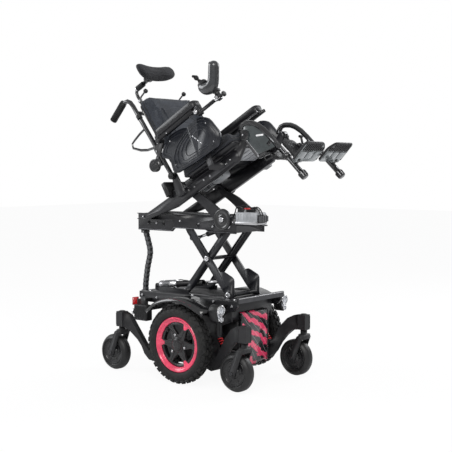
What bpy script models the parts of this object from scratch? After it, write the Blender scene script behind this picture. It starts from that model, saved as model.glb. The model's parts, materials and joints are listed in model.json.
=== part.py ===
from math import asin, atan2, cos, hypot, pi, radians, sin

import bmesh
import bpy
from mathutils import Matrix, Vector

for old in list(bpy.data.objects):
    bpy.data.objects.remove(old, do_unlink=True)

# Clearances
GAP = 0.0003
PIN_GAP = 0.0006
SIDE_GAP = 0.002

# Whole chair: +X forward, +Y to the user's left, Z up, the drive axle above x = 0 before the shift
CENTRE_SHIFT = -0.0438

# Drive wheels
TYRE_RADIUS = 0.159
TYRE_WIDTH = 0.057
WHEEL_Y = 0.231
RIM_RADIUS = 0.1117
RING_WALL = 0.028
SPOKES = 6
SPOKE_WIDTH = 0.016
AXLE_RADIUS = 0.009

# Casters
CASTER_RADIUS = 0.076
CASTER_WIDTH = 0.050
CASTER_Y = 0.197
CASTER_TRAIL = 0.038
FRONT_SWIVEL_X = 0.308
REAR_SWIVEL_X = -0.363
FORK_GAP = 0.0025
FORK_WALL = 0.0055
STEM_RADIUS = 0.008

# Suspension arms
ARM_HINGE_X = 0.070
ARM_HINGE_Z = 0.092
ARM_INNER_Y = 0.1385
ARM_WIDTH = 0.034
BEAM_WIDTH = 0.024
BLOCK_SIDE = 0.036
FRONT_BLOCK = (0.196, 0.259)
REAR_BLOCK = (0.190, 0.254)
HINGE_PIN = 0.010
SPRING_Y = 0.144
SPRING_RADIUS = 0.0085
SPRING_WIRE = 0.0022
SPRING_TURNS = 5

# Base frame
SIDE_PLATE_Y = 0.132
PLATE_WALL = 0.006
BASE_HALF = 0.190
BELLY_Z = 0.060
DECK_Z = 0.342
DECK_WALL = 0.004
DECK_HALF_Y = 0.150
DECK_REAR = -0.305
DECK_FRONT = 0.232
RAIL_DEPTH = 0.042
RAIL_WIDTH = 0.012
BATTERY_HALF_Y = 0.084
BATTERY_Z = (0.1313, 0.285)
MOTOR_RADIUS = 0.033
MOTOR_Y = 0.090
GEARBOX_HALF = 0.042

# Scissor lift
BAR_LENGTH = 0.370
BAR_ANGLE = radians(50)
LIFT_FRONT_X = 0.139
LIFT_BASE_Z = DECK_Z + 0.011
OUTER_BAR = (0.078, 0.086)
INNER_BAR = (0.066, 0.074)
BAR_END = 0.0105
BAR_WAIST = 0.017
BAR_TAPER = 0.040
SHAFT = 0.008
ROLLER = 0.0107
EAR_Y = (0.088, 0.094)
CRANK = 0.065
CRANK_ANGLE = radians(129.4)
CRANK_Y = (-0.056, -0.050)
ACTUATOR_Y = -0.042
ACTUATOR_PIN = (-0.294, DECK_Z + 0.015)
ACTUATOR_MOTOR = 0.019
ACTUATOR_TUBE = 0.013
ACTUATOR_ROD = 0.0075
STRUT_Y = -0.040
STRUT_PIN_ON_BAR = 0.301
STRUT_PIN_LEAN = radians(2.17)
STRUT_TUBE = 0.011
STRUT_ROD = 0.006

# Seat platform, tilt linkage and seat
PLATFORM_Y = (0.088, 0.094)
PLATFORM_DROP = 0.037
PLATFORM_HEIGHT = 0.072
PLATFORM_REAR = -0.365
PLATFORM_FRONT = 0.180
TILT_PIN_X = 0.115
TILT_PIN_RISE = 0.0226
TILT_LINK = 0.2385
TILT_LINK_ANGLE = radians(33)
LINK_Y = (0.096, 0.104)
LINK_HUB = 0.044
TILT_TUBE = 0.009
TRACK_ROLLER = 0.010
SEAT_TILT = radians(30)
RAIL_Y = (0.106, 0.122)
RAIL_LENGTH = 0.300
RAIL_HALF = 0.025
RAIL_N = -0.035
SEAT_PAN = (0.003, 0.0117)
SEAT_FRONT = 0.348
SEAT_HALF_Y = 0.150
CUSHION_HALF_Y = 0.158
CUSHION_TOP = 0.062
GUARD_Y = (0.187, 0.201)
RECLINE_PIVOT = (0.020, 0.040)
BACK_LEAN = radians(7.5)
CANE_Y = 0.175
CANE_RADIUS = 0.0095
CANE_TOP = 0.394
BACK_TOP = 0.388
BACK_HALF_Y = 0.160
ARMREST_PIVOT = (0.050, 0.190)
ARMREST_Y = 0.200
ARMREST_END = 0.300
STICK_TUBE_Y = -0.212
STICK_TUBE_N = 0.166
STICK_AXIS_S = 0.415
HEADREST_STEM = (-0.081, 0.532)
HEADREST_HINGE = (0.014, 0.520)

# Leg rests
KNEE_S = 0.395
KNEE_N = 0.010
LEG_Y = 0.125
LEG_ANGLE = radians(17)
LEG_TUBE = 0.011
LEG_LENGTH = 0.300
FOOT_HINGE = (0.097, -0.250)
CALF_HINGE = (0.052, -0.110)

parts = bpy.data.collections.new("Pediatric power wheelchair")
bpy.context.scene.collection.children.link(parts)
cutters = bpy.data.collections.new("Cutters")
bpy.context.scene.collection.children.link(cutters)

SIDES = (("right", -1), ("left", 1))


def link(name, data, collection=cutters):
    obj = bpy.data.objects.new(name, data)
    collection.objects.link(obj)
    return obj


def from_bmesh(bm):
    mesh = bpy.data.meshes.new("Solid")
    bm.to_mesh(mesh)
    bm.free()
    return link("Solid", mesh)


def to_mesh(obj):
    depsgraph = bpy.context.evaluated_depsgraph_get()
    mesh = bpy.data.meshes.new_from_object(obj.evaluated_get(depsgraph))
    mesh.transform(obj.matrix_world)
    solid = link("Solid", mesh)
    bpy.data.objects.remove(obj, do_unlink=True)
    return solid


def welded(obj):
    bm = bmesh.new()
    bm.from_mesh(obj.data)
    bmesh.ops.remove_doubles(bm, verts=bm.verts[:], dist=0.00002)
    bmesh.ops.recalc_face_normals(bm, faces=bm.faces[:])
    bm.to_mesh(obj.data)
    bm.free()
    return obj


def simplified(obj):
    # Flat faces that a Boolean has split are made whole again
    bm = bmesh.new()
    bm.from_mesh(obj.data)
    bmesh.ops.remove_doubles(bm, verts=bm.verts[:], dist=0.00005)
    bmesh.ops.dissolve_limit(bm, angle_limit=radians(0.5), verts=bm.verts[:], edges=bm.edges[:])
    bmesh.ops.triangulate(bm, faces=bm.faces[:])
    bm.to_mesh(obj.data)
    bm.free()
    return obj


def rounded(obj, width, segments=1, angle=30):
    modifier = obj.modifiers.new("Rounded edges", "BEVEL")
    modifier.width = width
    modifier.segments = segments
    modifier.angle_limit = radians(angle)
    return to_mesh(obj)


def box(start, end, turn=0.0):
    low, high = Vector(map(min, start, end)), Vector(map(max, start, end))
    bm = bmesh.new()
    size = Matrix.Diagonal((*(high - low), 1))
    place = Matrix.Translation((low + high) / 2) @ Matrix.Rotation(turn, 4, "Y") @ size
    bmesh.ops.create_cube(bm, size=1, matrix=place)
    return from_bmesh(bm)


def rod(start, end, radius, sides=10, end_radius=None):
    start, end = Vector(start), Vector(end)
    turn = Vector((0, 0, 1)).rotation_difference(end - start).to_matrix().to_4x4()
    bm = bmesh.new()
    bmesh.ops.create_cone(
        bm,
        cap_ends=True,
        segments=sides,
        radius1=radius,
        radius2=radius if end_radius is None else end_radius,
        depth=(end - start).length,
        matrix=Matrix.Translation((start + end) / 2) @ turn,
    )
    return from_bmesh(bm)


def pin(place, y1, y2, radius, sides=10):
    return rod((place[0], y1, place[1]), (place[0], y2, place[1]), radius, sides)


def ball(centre, radius, rings=5):
    bm = bmesh.new()
    place = Matrix.Translation(centre)
    bmesh.ops.create_uvsphere(bm, u_segments=2 * rings, v_segments=rings, radius=radius, matrix=place)
    return from_bmesh(bm)


def turned(profile, centre, out, sides=32):
    # The profile is (radius, height) pairs; heights run along `out`
    mesh = bpy.data.meshes.new("Profile")
    points = [(radius, 0, height) for radius, height in profile]
    closed = profile[0][0] > 0 and profile[-1][0] > 0
    edges = [(i, i + 1) for i in range(len(points) - 1)]
    if closed:
        edges.append((len(points) - 1, 0))
    mesh.from_pydata(points, edges, [])
    obj = link("Profile", mesh)
    modifier = obj.modifiers.new("Turn", "SCREW")
    modifier.steps = sides
    modifier.render_steps = sides
    modifier.use_merge_vertices = True
    modifier.merge_threshold = 0.00001
    turn = Vector((0, 0, 1)).rotation_difference(Vector(out)).to_matrix().to_4x4()
    solid = to_mesh(obj)
    solid.data.transform(Matrix.Translation(centre) @ turn)
    return welded(solid)


def plate(outline, low, high, axis="Y", holes=()):
    # A flat outline in the plane across `axis`, given as (x, z), (y, z) or (x, y) pairs
    data = bpy.data.curves.new("Outline", "CURVE")
    data.dimensions = "2D"
    data.fill_mode = "BOTH"
    data.extrude = abs(high - low) / 2
    data.render_resolution_u = 0
    for loop in (outline, *holes):
        spline = data.splines.new("POLY")
        spline.points.add(len(loop) - 1)
        for point, (first, second) in zip(spline.points, loop):
            point.co = (first, second, 0, 1)
        spline.use_cyclic_u = True
    obj = link("Outline", data)
    middle = (low + high) / 2
    frames = {
        "Y": Matrix(((1, 0, 0, 0), (0, 0, -1, middle), (0, 1, 0, 0), (0, 0, 0, 1))),
        "X": Matrix(((0, 0, 1, middle), (1, 0, 0, 0), (0, 1, 0, 0), (0, 0, 0, 1))),
        "Z": Matrix(((1, 0, 0, 0), (0, 1, 0, 0), (0, 0, 1, middle), (0, 0, 0, 1))),
    }
    solid = to_mesh(obj)
    solid.data.transform(frames[axis])
    return welded(solid)


def tube(points, radius, resolution=2):
    data = bpy.data.curves.new("Tube", "CURVE")
    data.dimensions = "3D"
    data.bevel_depth = radius
    data.bevel_resolution = resolution
    data.use_fill_caps = True
    data.render_resolution_u = 0
    spline = data.splines.new("POLY")
    spline.points.add(len(points) - 1)
    for point, place in zip(spline.points, points):
        point.co = (*place, 1)
    return welded(to_mesh(link("Tube", data)))


def arc(centre, radius, start, end, steps):
    turns = [start + (end - start) * i / steps for i in range(steps + 1)]
    return [(centre[0] + radius * cos(a), centre[1] + radius * sin(a)) for a in turns]


def hull(points):
    ordered = sorted(set(points))
    loop = []
    for run in (ordered, ordered[::-1]):
        start = len(loop)
        for point in run:
            while len(loop) >= start + 2:
                (ax, az), (bx, bz) = loop[-2], loop[-1]
                if (bx - ax) * (point[1] - az) - (bz - az) * (point[0] - ax) > 1e-9:
                    break
                loop.pop()
            loop.append(point)
        loop.pop()
    return loop


def belt(*circles, steps=10):
    # The outline that a belt takes round circles given as (x, z, radius)
    points = []
    for x, z, radius in circles:
        points += arc((x, z), radius, 0, 2 * pi, steps)[:-1]
    return hull([(round(x, 6), round(z, 6)) for x, z in points])


def smooth(points, steps=4):
    # A Catmull-Rom curve through the points
    ends = [points[0], *points, points[-1]]
    path = []
    for before, start, end, after in zip(ends, ends[1:], ends[2:], ends[3:]):
        for i in range(steps):
            t = i / steps
            place = []
            for a, b, c, d in zip(before, start, end, after):
                bend = 2 * b + (c - a) * t + (2 * a - 5 * b + 4 * c - d) * t * t
                place.append((bend + (3 * b - a - 3 * c + d) * t**3) / 2)
            path.append(tuple(place))
    return [*path, tuple(points[-1])]


def fillet(points, radius, steps=2):
    # An open path with its inner corners rounded
    path = [points[0]]
    for before, corner, after in zip(points, points[1:], points[2:]):
        corner = Vector(corner)
        back, ahead = Vector(before) - corner, Vector(after) - corner
        reach = min(radius, back.length / 2.1, ahead.length / 2.1)
        start = corner + back.normalized() * reach
        end = corner + ahead.normalized() * reach
        for i in range(steps + 1):
            t = i / steps
            path.append(tuple(start * (1 - t) ** 2 + corner * 2 * t * (1 - t) + end * t * t))
    return [*path, points[-1]]


def fillet_loop(corners, radius, steps=2):
    start = tuple((a + b) / 2 for a, b in zip(corners[-1], corners[0]))
    return fillet([start, *corners, start], radius, steps)[:-1]


def ribbon(path, widths):
    # The outline of a band along a flat path; widths is one value or one for each point
    if not isinstance(widths, (list, tuple)):
        widths = [widths] * len(path)
    upper, lower = [], []
    for i, (place, width) in enumerate(zip(path, widths)):
        start, end = path[max(i - 1, 0)], path[min(i + 1, len(path) - 1)]
        length = hypot(end[0] - start[0], end[1] - start[1])
        across = (-(end[1] - start[1]) / length, (end[0] - start[0]) / length)
        upper.append((place[0] + across[0] * width / 2, place[1] + across[1] * width / 2))
        lower.append((place[0] - across[0] * width / 2, place[1] - across[1] * width / 2))
    return upper + lower[::-1]


def combine(operation, first, others):
    for other in others:
        modifier = first.modifiers.new("Shape", "BOOLEAN")
        modifier.operation = operation
        modifier.solver = "EXACT"
        modifier.object = other
    solid = to_mesh(first)
    for other in others:
        bpy.data.objects.remove(other, do_unlink=True)
    return simplified(solid)


def join(first, *others):
    return combine("UNION", first, others)


def cut(first, *others):
    return combine("DIFFERENCE", first, others)


def material(name, colour, roughness, metallic=0.0):
    finish = bpy.data.materials.new(name)
    finish.use_nodes = True
    shader = finish.node_tree.nodes["Principled BSDF"]
    shader.inputs["Base Color"].default_value = (*colour, 1)
    shader.inputs["Roughness"].default_value = roughness
    shader.inputs["Metallic"].default_value = metallic
    finish.diffuse_color = (*colour, 1)
    return finish


def pivot(name, place, parent=None, turn=0.0):
    # An empty on a joint's axis; place is (x, y, z) in its parent's frame
    empty = link(name, None, parts)
    empty.empty_display_size = 0.02
    empty.location = place
    empty.rotation_euler = (0, turn, 0)
    empty.parent = parent
    return empty


def node(name, solid, finish, parent, origin=(0, 0, 0), angle=35):
    # The solid is drawn in its parent's frame, except that its own origin is moved to `origin`
    mesh = solid.data
    mesh.transform(Matrix.Translation(-Vector(origin)))
    mesh.name = name
    mesh.materials.clear()
    mesh.materials.append(finish)
    mesh.shade_smooth()
    mesh.set_sharp_from_angle(angle=radians(angle))
    obj = link(name, mesh, parts)
    obj.location = origin
    obj.parent = parent
    bpy.data.objects.remove(solid, do_unlink=True)
    return obj


black_metal = material("Black painted metal", (0.014, 0.014, 0.016), 0.38, 0.3)
black_plastic = material("Black plastic", (0.018, 0.018, 0.020), 0.45)
grey_plastic = material("Grey plastic", (0.30, 0.31, 0.32), 0.5)
rubber = material("Rubber", (0.016, 0.016, 0.017), 0.75)
pink_gloss = material("Pink gloss", (0.80, 0.05, 0.13), 0.3)
red_metal = material("Red painted metal", (0.65, 0.02, 0.03), 0.35, 0.3)
bright_steel = material("Bright steel", (0.62, 0.62, 0.64), 0.25, 1.0)
fabric = material("Black fabric", (0.020, 0.020, 0.022), 0.9)
vinyl = material("Black vinyl", (0.017, 0.017, 0.018), 0.5)

chair = pivot("Chair", (CENTRE_SHIFT, 0, 0))


def tyre(suffix, side):
    half = TYRE_WIDTH / 2
    bead = RIM_RADIUS + GAP
    profile = [
        (TYRE_RADIUS, 0.012),
        (TYRE_RADIUS, -0.012),
        (TYRE_RADIUS - 0.008, -half + 0.005),
        (TYRE_RADIUS - 0.022, -half),
        (bead, -0.021),
        (bead, 0.021),
        (TYRE_RADIUS - 0.022, half),
        (TYRE_RADIUS - 0.008, half - 0.005),
    ]
    solid = turned(profile, (0, 0, 0), (0, side, 0), 28)
    hub = pivot("Drive axle " + suffix, (0, side * WHEEL_Y, TYRE_RADIUS), chair)
    node("tyre_" + suffix, solid, rubber, hub)
    return hub


def star_outline():
    points = []
    for i in range(SPOKES):
        middle = 2 * pi * i / SPOKES
        tip = RIM_RADIUS - RING_WALL + 0.004
        spread = asin(SPOKE_WIDTH / 2 / tip)
        waist = pi / SPOKES
        points += [(tip * cos(middle + a), tip * sin(middle + a)) for a in (-spread, spread)]
        points += arc((0, 0), 0.036, middle + waist * 0.7, middle + waist * 1.3, 1)
    return points


def wheel_rim(suffix, side, hub):
    inner = RIM_RADIUS - RING_WALL
    bore = 0.0185
    profile = [
        (RIM_RADIUS, bore),
        (RIM_RADIUS, -bore),
        (RIM_RADIUS - 0.007, -bore - 0.003),
        (inner, -0.012),
        (inner, 0.012),
        (RIM_RADIUS - 0.007, bore + 0.003),
    ]
    ring = turned(profile, (0, 0, 0), (0, side, 0), 28)
    star = plate(star_outline(), side * 0.002, side * 0.014)
    barrel = rod((0, -side * 0.020, 0), (0, side * 0.017, 0), 0.030, 12)
    cap = rod((0, side * 0.016, 0), (0, side * 0.021, 0), 0.022, 20, 0.017)
    axle = rod((0, -side * (WHEEL_Y - SIDE_PLATE_Y - 0.0125), 0), (0, -side * 0.018, 0), AXLE_RADIUS)
    lugs = []
    for i in range(3):
        turn = pi / 3 + 2 * pi * i / 3
        lug = belt((0.092, 0, 0.012), (0.078, 0, 0.007), steps=10)
        spun = [(x * cos(turn) - z * sin(turn), x * sin(turn) + z * cos(turn)) for x, z in lug]
        lugs.append(plate(spun, side * 0.003, side * 0.011))
    node("wheel_rim_" + suffix, join(ring, star, barrel, cap, axle, *lugs), pink_gloss, hub)


def caster_wheel(name, fork_pivot, side):
    half = CASTER_WIDTH / 2
    bore = 0.006 + PIN_GAP
    profile = [
        (CASTER_RADIUS, half - 0.012),
        (CASTER_RADIUS, 0.012 - half),
        (0.060, -half),
        (0.052, 0.008 - half),
        (0.020, 0.008 - half),
        (0.018, -half),
        (bore, -half),
        (bore, half),
        (0.018, half),
        (0.020, half - 0.008),
        (0.052, half - 0.008),
        (0.060, half),
    ]
    solid = turned(profile, (0, 0, 0), (0, side, 0), 16)
    axle = pivot("Axle of " + name, (-CASTER_TRAIL, 0, CASTER_RADIUS), fork_pivot)
    node(name, solid, rubber, axle)


def caster_fork(name, arm_pivot, swivel_x, side, block):
    # Drawn about the swivel axis, from the floor up
    crown_top = CASTER_RADIUS * 2 + 0.024
    crown_low = CASTER_RADIUS * 2 + 0.005
    inner = CASTER_WIDTH / 2 + FORK_GAP
    outer = inner + FORK_WALL
    crown = plate(
        belt((-0.006, 0, 0.016), (0.002, outer - 0.014, 0.014), (0.002, 0.014 - outer, 0.014)),
        crown_low,
        crown_top,
        "Z",
    )
    leg = belt(
        (-CASTER_TRAIL, CASTER_RADIUS, 0.017),
        (-0.004, crown_top - 0.016, 0.013),
        (0.006, crown_top - 0.012, 0.006),
    )
    legs = [plate(leg, low, low + FORK_WALL) for low in (-outer, inner)]
    collar = rod((0, 0, crown_top - 0.002), (0, 0, block[0] - GAP), 0.014, 14)
    stem = rod((0, 0, crown_top - 0.002), (0, 0, block[1] - 0.006), STEM_RADIUS)
    axle = pin((-CASTER_TRAIL, CASTER_RADIUS), -outer - 0.002, outer + 0.002, 0.006, 10)
    place = Vector((swivel_x, side * CASTER_Y, 0)) - arm_pivot.location
    swivel = pivot("Swivel of " + name, place, arm_pivot)
    node(name, join(crown, *legs, collar, stem, axle), black_metal, swivel)
    return swivel


def arm_outline(end, block):
    # The swan neck seen from the side, x counted forward from the axle for both ends
    low, high = block
    if end == "front":
        upper = [(ARM_HINGE_X, 0.117), (0.110, 0.104), (0.146, 0.114), (0.172, 0.150), (0.205, 0.203)]
        upper += [(0.240, 0.240), (0.270, high - 0.004), (0.292, high)]
        lower = [(0.292, low), (0.262, low - 0.004), (0.232, 0.166), (0.205, 0.132), (0.184, 0.095)]
        lower += [(0.158, 0.068), (0.120, 0.056), (ARM_HINGE_X, 0.067)]
    else:
        upper = [(ARM_HINGE_X, 0.117), (0.130, 0.100), (0.185, 0.090), (0.213, 0.099), (0.238, 0.127)]
        upper += [(0.264, 0.164), (0.292, 0.204), (0.318, high - 0.012), (0.347, high)]
        lower = [(0.347, low), (0.320, low - 0.010), (0.295, 0.160), (0.272, 0.141), (0.252, 0.116)]
        lower += [(0.238, 0.086), (0.214, 0.062), (0.150, 0.052), (ARM_HINGE_X, 0.067)]
    return upper + lower


def caster_arm(end, suffix, side):
    ahead = 1 if end == "front" else -1
    swivel_x = FRONT_SWIVEL_X if end == "front" else REAR_SWIVEL_X
    block = FRONT_BLOCK if end == "front" else REAR_BLOCK
    middle = ARM_INNER_Y + ARM_WIDTH / 2
    slope = (CASTER_Y - middle) / (abs(swivel_x) - ARM_HINGE_X)
    beam = plate(arm_outline(end, block), -BEAM_WIDTH / 2, BEAM_WIDTH / 2)
    for vertex in beam.data.vertices:
        vertex.co.y = side * (middle + slope * (vertex.co.x - ARM_HINGE_X) + vertex.co.y)
        vertex.co.x *= ahead
    beam = welded(beam)
    half = BLOCK_SIDE / 2
    square = box(
        (swivel_x - half, side * CASTER_Y - half, block[0]),
        (swivel_x + half, side * CASTER_Y + half, block[1]),
    )
    near, far = side * ARM_INNER_Y, side * (ARM_INNER_Y + ARM_WIDTH)
    hinge = (ahead * ARM_HINGE_X, ARM_HINGE_Z)
    boss = pin(hinge, near, far, 0.026, 14)
    solids = [square, boss]
    if end == "front":
        lug_y = SPRING_Y - SPRING_RADIUS
        solids.append(pin(spring_foot(), side * lug_y, side * (CASTER_Y - 0.023), 0.008, 10))
    arm = join(beam, *solids)
    bore = pin(
        hinge,
        side * (ARM_INNER_Y - 0.01),
        side * (ARM_INNER_Y + ARM_WIDTH + 0.01),
        HINGE_PIN + PIN_GAP,
        12,
    )
    kingpin = rod(
        (swivel_x, side * CASTER_Y, block[0] - 0.01),
        (swivel_x, side * CASTER_Y, block[1] - 0.004),
        STEM_RADIUS + PIN_GAP,
    )
    arm = cut(arm, bore, kingpin)
    name = f"caster_arm_{end}_{suffix}"
    arm_pivot = pivot("Hinge of " + name, (hinge[0], side * middle, hinge[1]), chair)
    node(name, arm, black_metal, arm_pivot, arm_pivot.location).location = (0, 0, 0)
    fork = caster_fork(f"caster_fork_{end}_{suffix}", arm_pivot, swivel_x, side, block)
    caster_wheel(f"caster_wheel_{end}_{suffix}", fork, side)


def spring_head():
    return (0.134, 0.196)


def spring_foot():
    return (0.176, 0.136)


def suspension_spring(suffix, side):
    # The coil lies between the chassis seat and the arm's lug, clear of both
    (x1, z1), (x2, z2) = spring_head(), spring_foot()
    length = hypot(x2 - x1, z2 - z1)
    forward, down = (x2 - x1) / length, (z2 - z1) / length
    start, end = 0.0093, length - 0.0085
    steps = SPRING_TURNS * 8
    points = []
    for i in range(steps + 1):
        turn = 2 * pi * SPRING_TURNS * i / steps
        along = start + (end - start) * i / steps
        side_step = SPRING_RADIUS * cos(turn)
        points.append((
            x1 + forward * along + down * side_step,
            side * SPRING_Y + SPRING_RADIUS * sin(turn),
            z1 + down * along - forward * side_step,
        ))
    node("suspension_spring_" + suffix, tube(points, SPRING_WIRE, 0), red_metal, chair)


def deck_frame():
    half = BASE_HALF
    top = DECK_Z
    inner = SIDE_PLATE_Y - PLATE_WALL
    rail_low = top - RAIL_DEPTH
    solids = []
    cutting = []
    for suffix, side in SIDES:
        flank = [(-half, BELLY_Z + 0.02), (-half + 0.02, BELLY_Z), (0.100, BELLY_Z), (0.122, 0.090)]
        flank += [(0.122, 0.230), (half, 0.256), (half, top - 0.002), (-half, top - 0.002)]
        solids.append(plate(flank, side * inner, side * SIDE_PLATE_Y))
        rail = [(DECK_REAR, rail_low + 0.016), (DECK_REAR + 0.03, rail_low), (DECK_FRONT - 0.02, rail_low)]
        rail += [(DECK_FRONT, rail_low + 0.02), (DECK_FRONT, top), (DECK_REAR, top)]
        solids.append(plate(rail, side * (DECK_HALF_Y - RAIL_WIDTH), side * DECK_HALF_Y))
        solids.append(
            box((-half, side * inner, rail_low), (half, side * (DECK_HALF_Y - 0.002), rail_low + 0.004)),
        )
        for x in (-ARM_HINGE_X, ARM_HINGE_X):
            place = (x, ARM_HINGE_Z)
            solids.append(
                pin(place, side * (inner + 0.001), side * (ARM_INNER_Y + ARM_WIDTH + 0.003), HINGE_PIN),
            )
            solids.append(pin(place, side * (inner + 0.001), side * (ARM_INNER_Y - SIDE_GAP), 0.017))
        head = spring_head()
        solids.append(
            plate(
                belt((*head, 0.009), (head[0] - 0.008, 0.250, 0.010), steps=10),
                side * inner,
                side * (SPRING_Y + 0.009),
            ),
        )
        ear = belt(
            (LIFT_FRONT_X, LIFT_BASE_Z, 0.014),
            (LIFT_FRONT_X - 0.018, top - 0.004, 0.004),
            (LIFT_FRONT_X + 0.022, top - 0.004, 0.004),
        )
        solids.append(plate(ear, side * EAR_Y[0], side * EAR_Y[1]))
        guide = side * (OUTER_BAR[1] + 0.0055)
        solids.append(box((-0.245, guide, top - 0.002), (-0.075, guide + side * 0.003, top + 0.018)))
        cutting.append(pin((0, TYRE_RADIUS), side * 0.1, side * 0.14, 0.0203, 14))
        cutting.append(pin((LIFT_FRONT_X, LIFT_BASE_Z), side * 0.087, side * 0.096, 0.009 + PIN_GAP))
    deck = box((DECK_REAR, -DECK_HALF_Y + 0.002, top - DECK_WALL), (DECK_FRONT, DECK_HALF_Y - 0.002, top))
    rear_wall = box((-half, -inner - 0.002, BELLY_Z + 0.021), (-half + 0.005, inner + 0.002, top - 0.002))
    front_wall = box((half - 0.005, -inner - 0.002, 0.262), (half, inner + 0.002, top - 0.002))
    front_low = box((half - 0.005, -BATTERY_HALF_Y, BELLY_Z), (half, BATTERY_HALF_Y, 0.264))
    shelf = box(
        (-half + 0.003, -BATTERY_HALF_Y - 0.002, 0.126),
        (half - 0.003, BATTERY_HALF_Y + 0.002, BATTERY_Z[0] - GAP),
    )
    rear_beam = box(
        (DECK_REAR, -DECK_HALF_Y + 0.002, rail_low + 0.018),
        (DECK_REAR + 0.012, DECK_HALF_Y - 0.002, top - 0.002),
    )
    nose = box(
        (DECK_FRONT - 0.002, -DECK_HALF_Y, top - 0.008),
        (DECK_FRONT + 0.008, DECK_HALF_Y, top + 0.014),
    )
    tongue = box((-0.361, -0.088, top - 0.026), (DECK_REAR + 0.004, -0.052, chain_low() - GAP))
    lugs = []
    x, z = ACTUATOR_PIN
    for low in (ACTUATOR_Y - 0.0125, ACTUATOR_Y + 0.0075):
        outline = belt(
            (x, z, 0.010),
            (x - 0.006, top - 0.006, 0.004),
            (x + 0.006, top - 0.006, 0.004),
            steps=10,
        )
        lugs.append(plate(outline, low, low + 0.005))
    lugs.append(pin((x, z), ACTUATOR_Y - 0.014, ACTUATOR_Y + 0.014, 0.005, 10))
    frame = join(deck, rear_wall, front_wall, front_low, shelf, rear_beam, nose, tongue, *lugs, *solids)
    slot_half = ACTUATOR_MOTOR + 0.003
    slot = box(
        (x + 0.013, ACTUATOR_Y - slot_half, top - 0.02),
        (x + 0.112, ACTUATOR_Y + slot_half, top + 0.01),
    )
    frame = cut(frame, slot, *cutting)
    node("deck_frame", frame, black_metal, chair)


def battery_box():
    low, high = BATTERY_Z
    case = box(
        (-BASE_HALF + 0.007, -BATTERY_HALF_Y + 0.002, low),
        (BASE_HALF - 0.007, BATTERY_HALF_Y - 0.002, high - 0.03),
    )
    lid = box(
        (-BASE_HALF + 0.0055, -BATTERY_HALF_Y, high - 0.032),
        (BASE_HALF - 0.0055, BATTERY_HALF_Y, high),
    )
    rim = box((-0.05, -0.03, high - 0.004), (0.05, 0.03, high + 0.006))
    node(
        "battery_box",
        join(rounded(case, 0.006), rounded(lid, 0.004), rounded(rim, 0.003)),
        black_plastic,
        chair,
    )


def drive_motor(suffix, side):
    inner = SIDE_PLATE_Y - PLATE_WALL - GAP
    base = belt((0, TYRE_RADIUS, 0.040), (0.006, ARM_HINGE_Z, 0.030))
    gearbox = rounded(plate(base, side * (BATTERY_HALF_Y + 0.004), side * inner), 0.003)
    boss = pin((0, TYRE_RADIUS), side * (inner - 0.004), side * (SIDE_PLATE_Y + 0.018), 0.020, 14)
    start, end = (0.020, side * MOTOR_Y, ARM_HINGE_Z), (0.118, side * MOTOR_Y, ARM_HINGE_Z)
    barrel = rod(start, end, MOTOR_RADIUS, 14)
    cap = rod(
        (0.117, start[1], ARM_HINGE_Z),
        (0.126, start[1], ARM_HINGE_Z),
        MOTOR_RADIUS - 0.001,
        24,
        0.022,
    )
    motor = join(gearbox, boss, barrel, cap)
    bore = pin(
        (0, TYRE_RADIUS),
        side * (SIDE_PLATE_Y + 0.010),
        side * (SIDE_PLATE_Y + 0.030),
        AXLE_RADIUS + PIN_GAP,
        12,
    )
    node("drive_motor_" + suffix, cut(motor, bore), black_metal, chair)


def front_shroud():
    low, high, half = 0.066, 0.290, 0.088
    start = BASE_HALF + GAP
    side_view = [
        (start, low),
        (0.199, low),
        (0.211, low + 0.030),
        (0.2155, 0.160),
        (0.213, 0.250),
        (0.205, high - 0.008),
    ]
    side_view += [(0.198, high), (start, high)]
    shell = plate(side_view, -half, half)
    plan = [(start - 0.01, -half + 0.001)]
    plan += [(0.2165 - 0.0135 * (i / 5) ** 2, (half - 0.001) * i / 5) for i in range(-5, 6)]
    plan += [(start - 0.01, half - 0.001)]
    shell = combine("INTERSECT", shell, [plate(plan, low - 0.01, high + 0.01, "Z")])
    node("front_shroud", rounded(shell, 0.003, 1, 50), pink_gloss, chair, angle=40)


def fender(suffix, side):
    arch = smooth([(-0.157, 0.284), (-0.099, 0.326), (-0.012, 0.344), (0.065, 0.333), (0.148, 0.299)], 3)
    near, far = DECK_HALF_Y + GAP, WHEEL_Y + 0.031
    strip = plate(ribbon(arch, 0.0045), side * (near + 0.001), side * far)
    lip = plate(
        ribbon([(x, z - 0.0055) for x, z in arch], 0.012),
        side * (far - 0.003),
        side * (far + 0.001),
    )
    web = [
        (-0.110, DECK_Z - 0.038),
        (0.085, DECK_Z - 0.038),
        (0.085, 0.325),
        (0.05, 0.338),
        (-0.03, 0.342),
        (-0.110, 0.320),
    ]
    flange = plate(web, side * near, side * (near + 0.004))
    node("fender_" + suffix, join(strip, lip, flange), pink_gloss, chair)


def headlight(suffix, side):
    face = belt((side * 0.209, 0.309, 0.024), (side * 0.209, 0.277, 0.016))
    back, front = 0.153, 0.197
    case = rounded(plate(face, back, front, "X"), 0.004)
    arm = box((back + 0.004, side * (DECK_HALF_Y + GAP), 0.306), (back + 0.026, side * 0.192, 0.326))
    big = rod((front - 0.004, side * 0.208, 0.311), (front + 0.004, side * 0.208, 0.311), 0.0195, 14)
    small = rod((front - 0.004, side * 0.208, 0.276), (front + 0.003, side * 0.208, 0.276), 0.011, 12)
    node("headlight_" + suffix, join(case, arm, big, small), black_plastic, chair)


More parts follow.
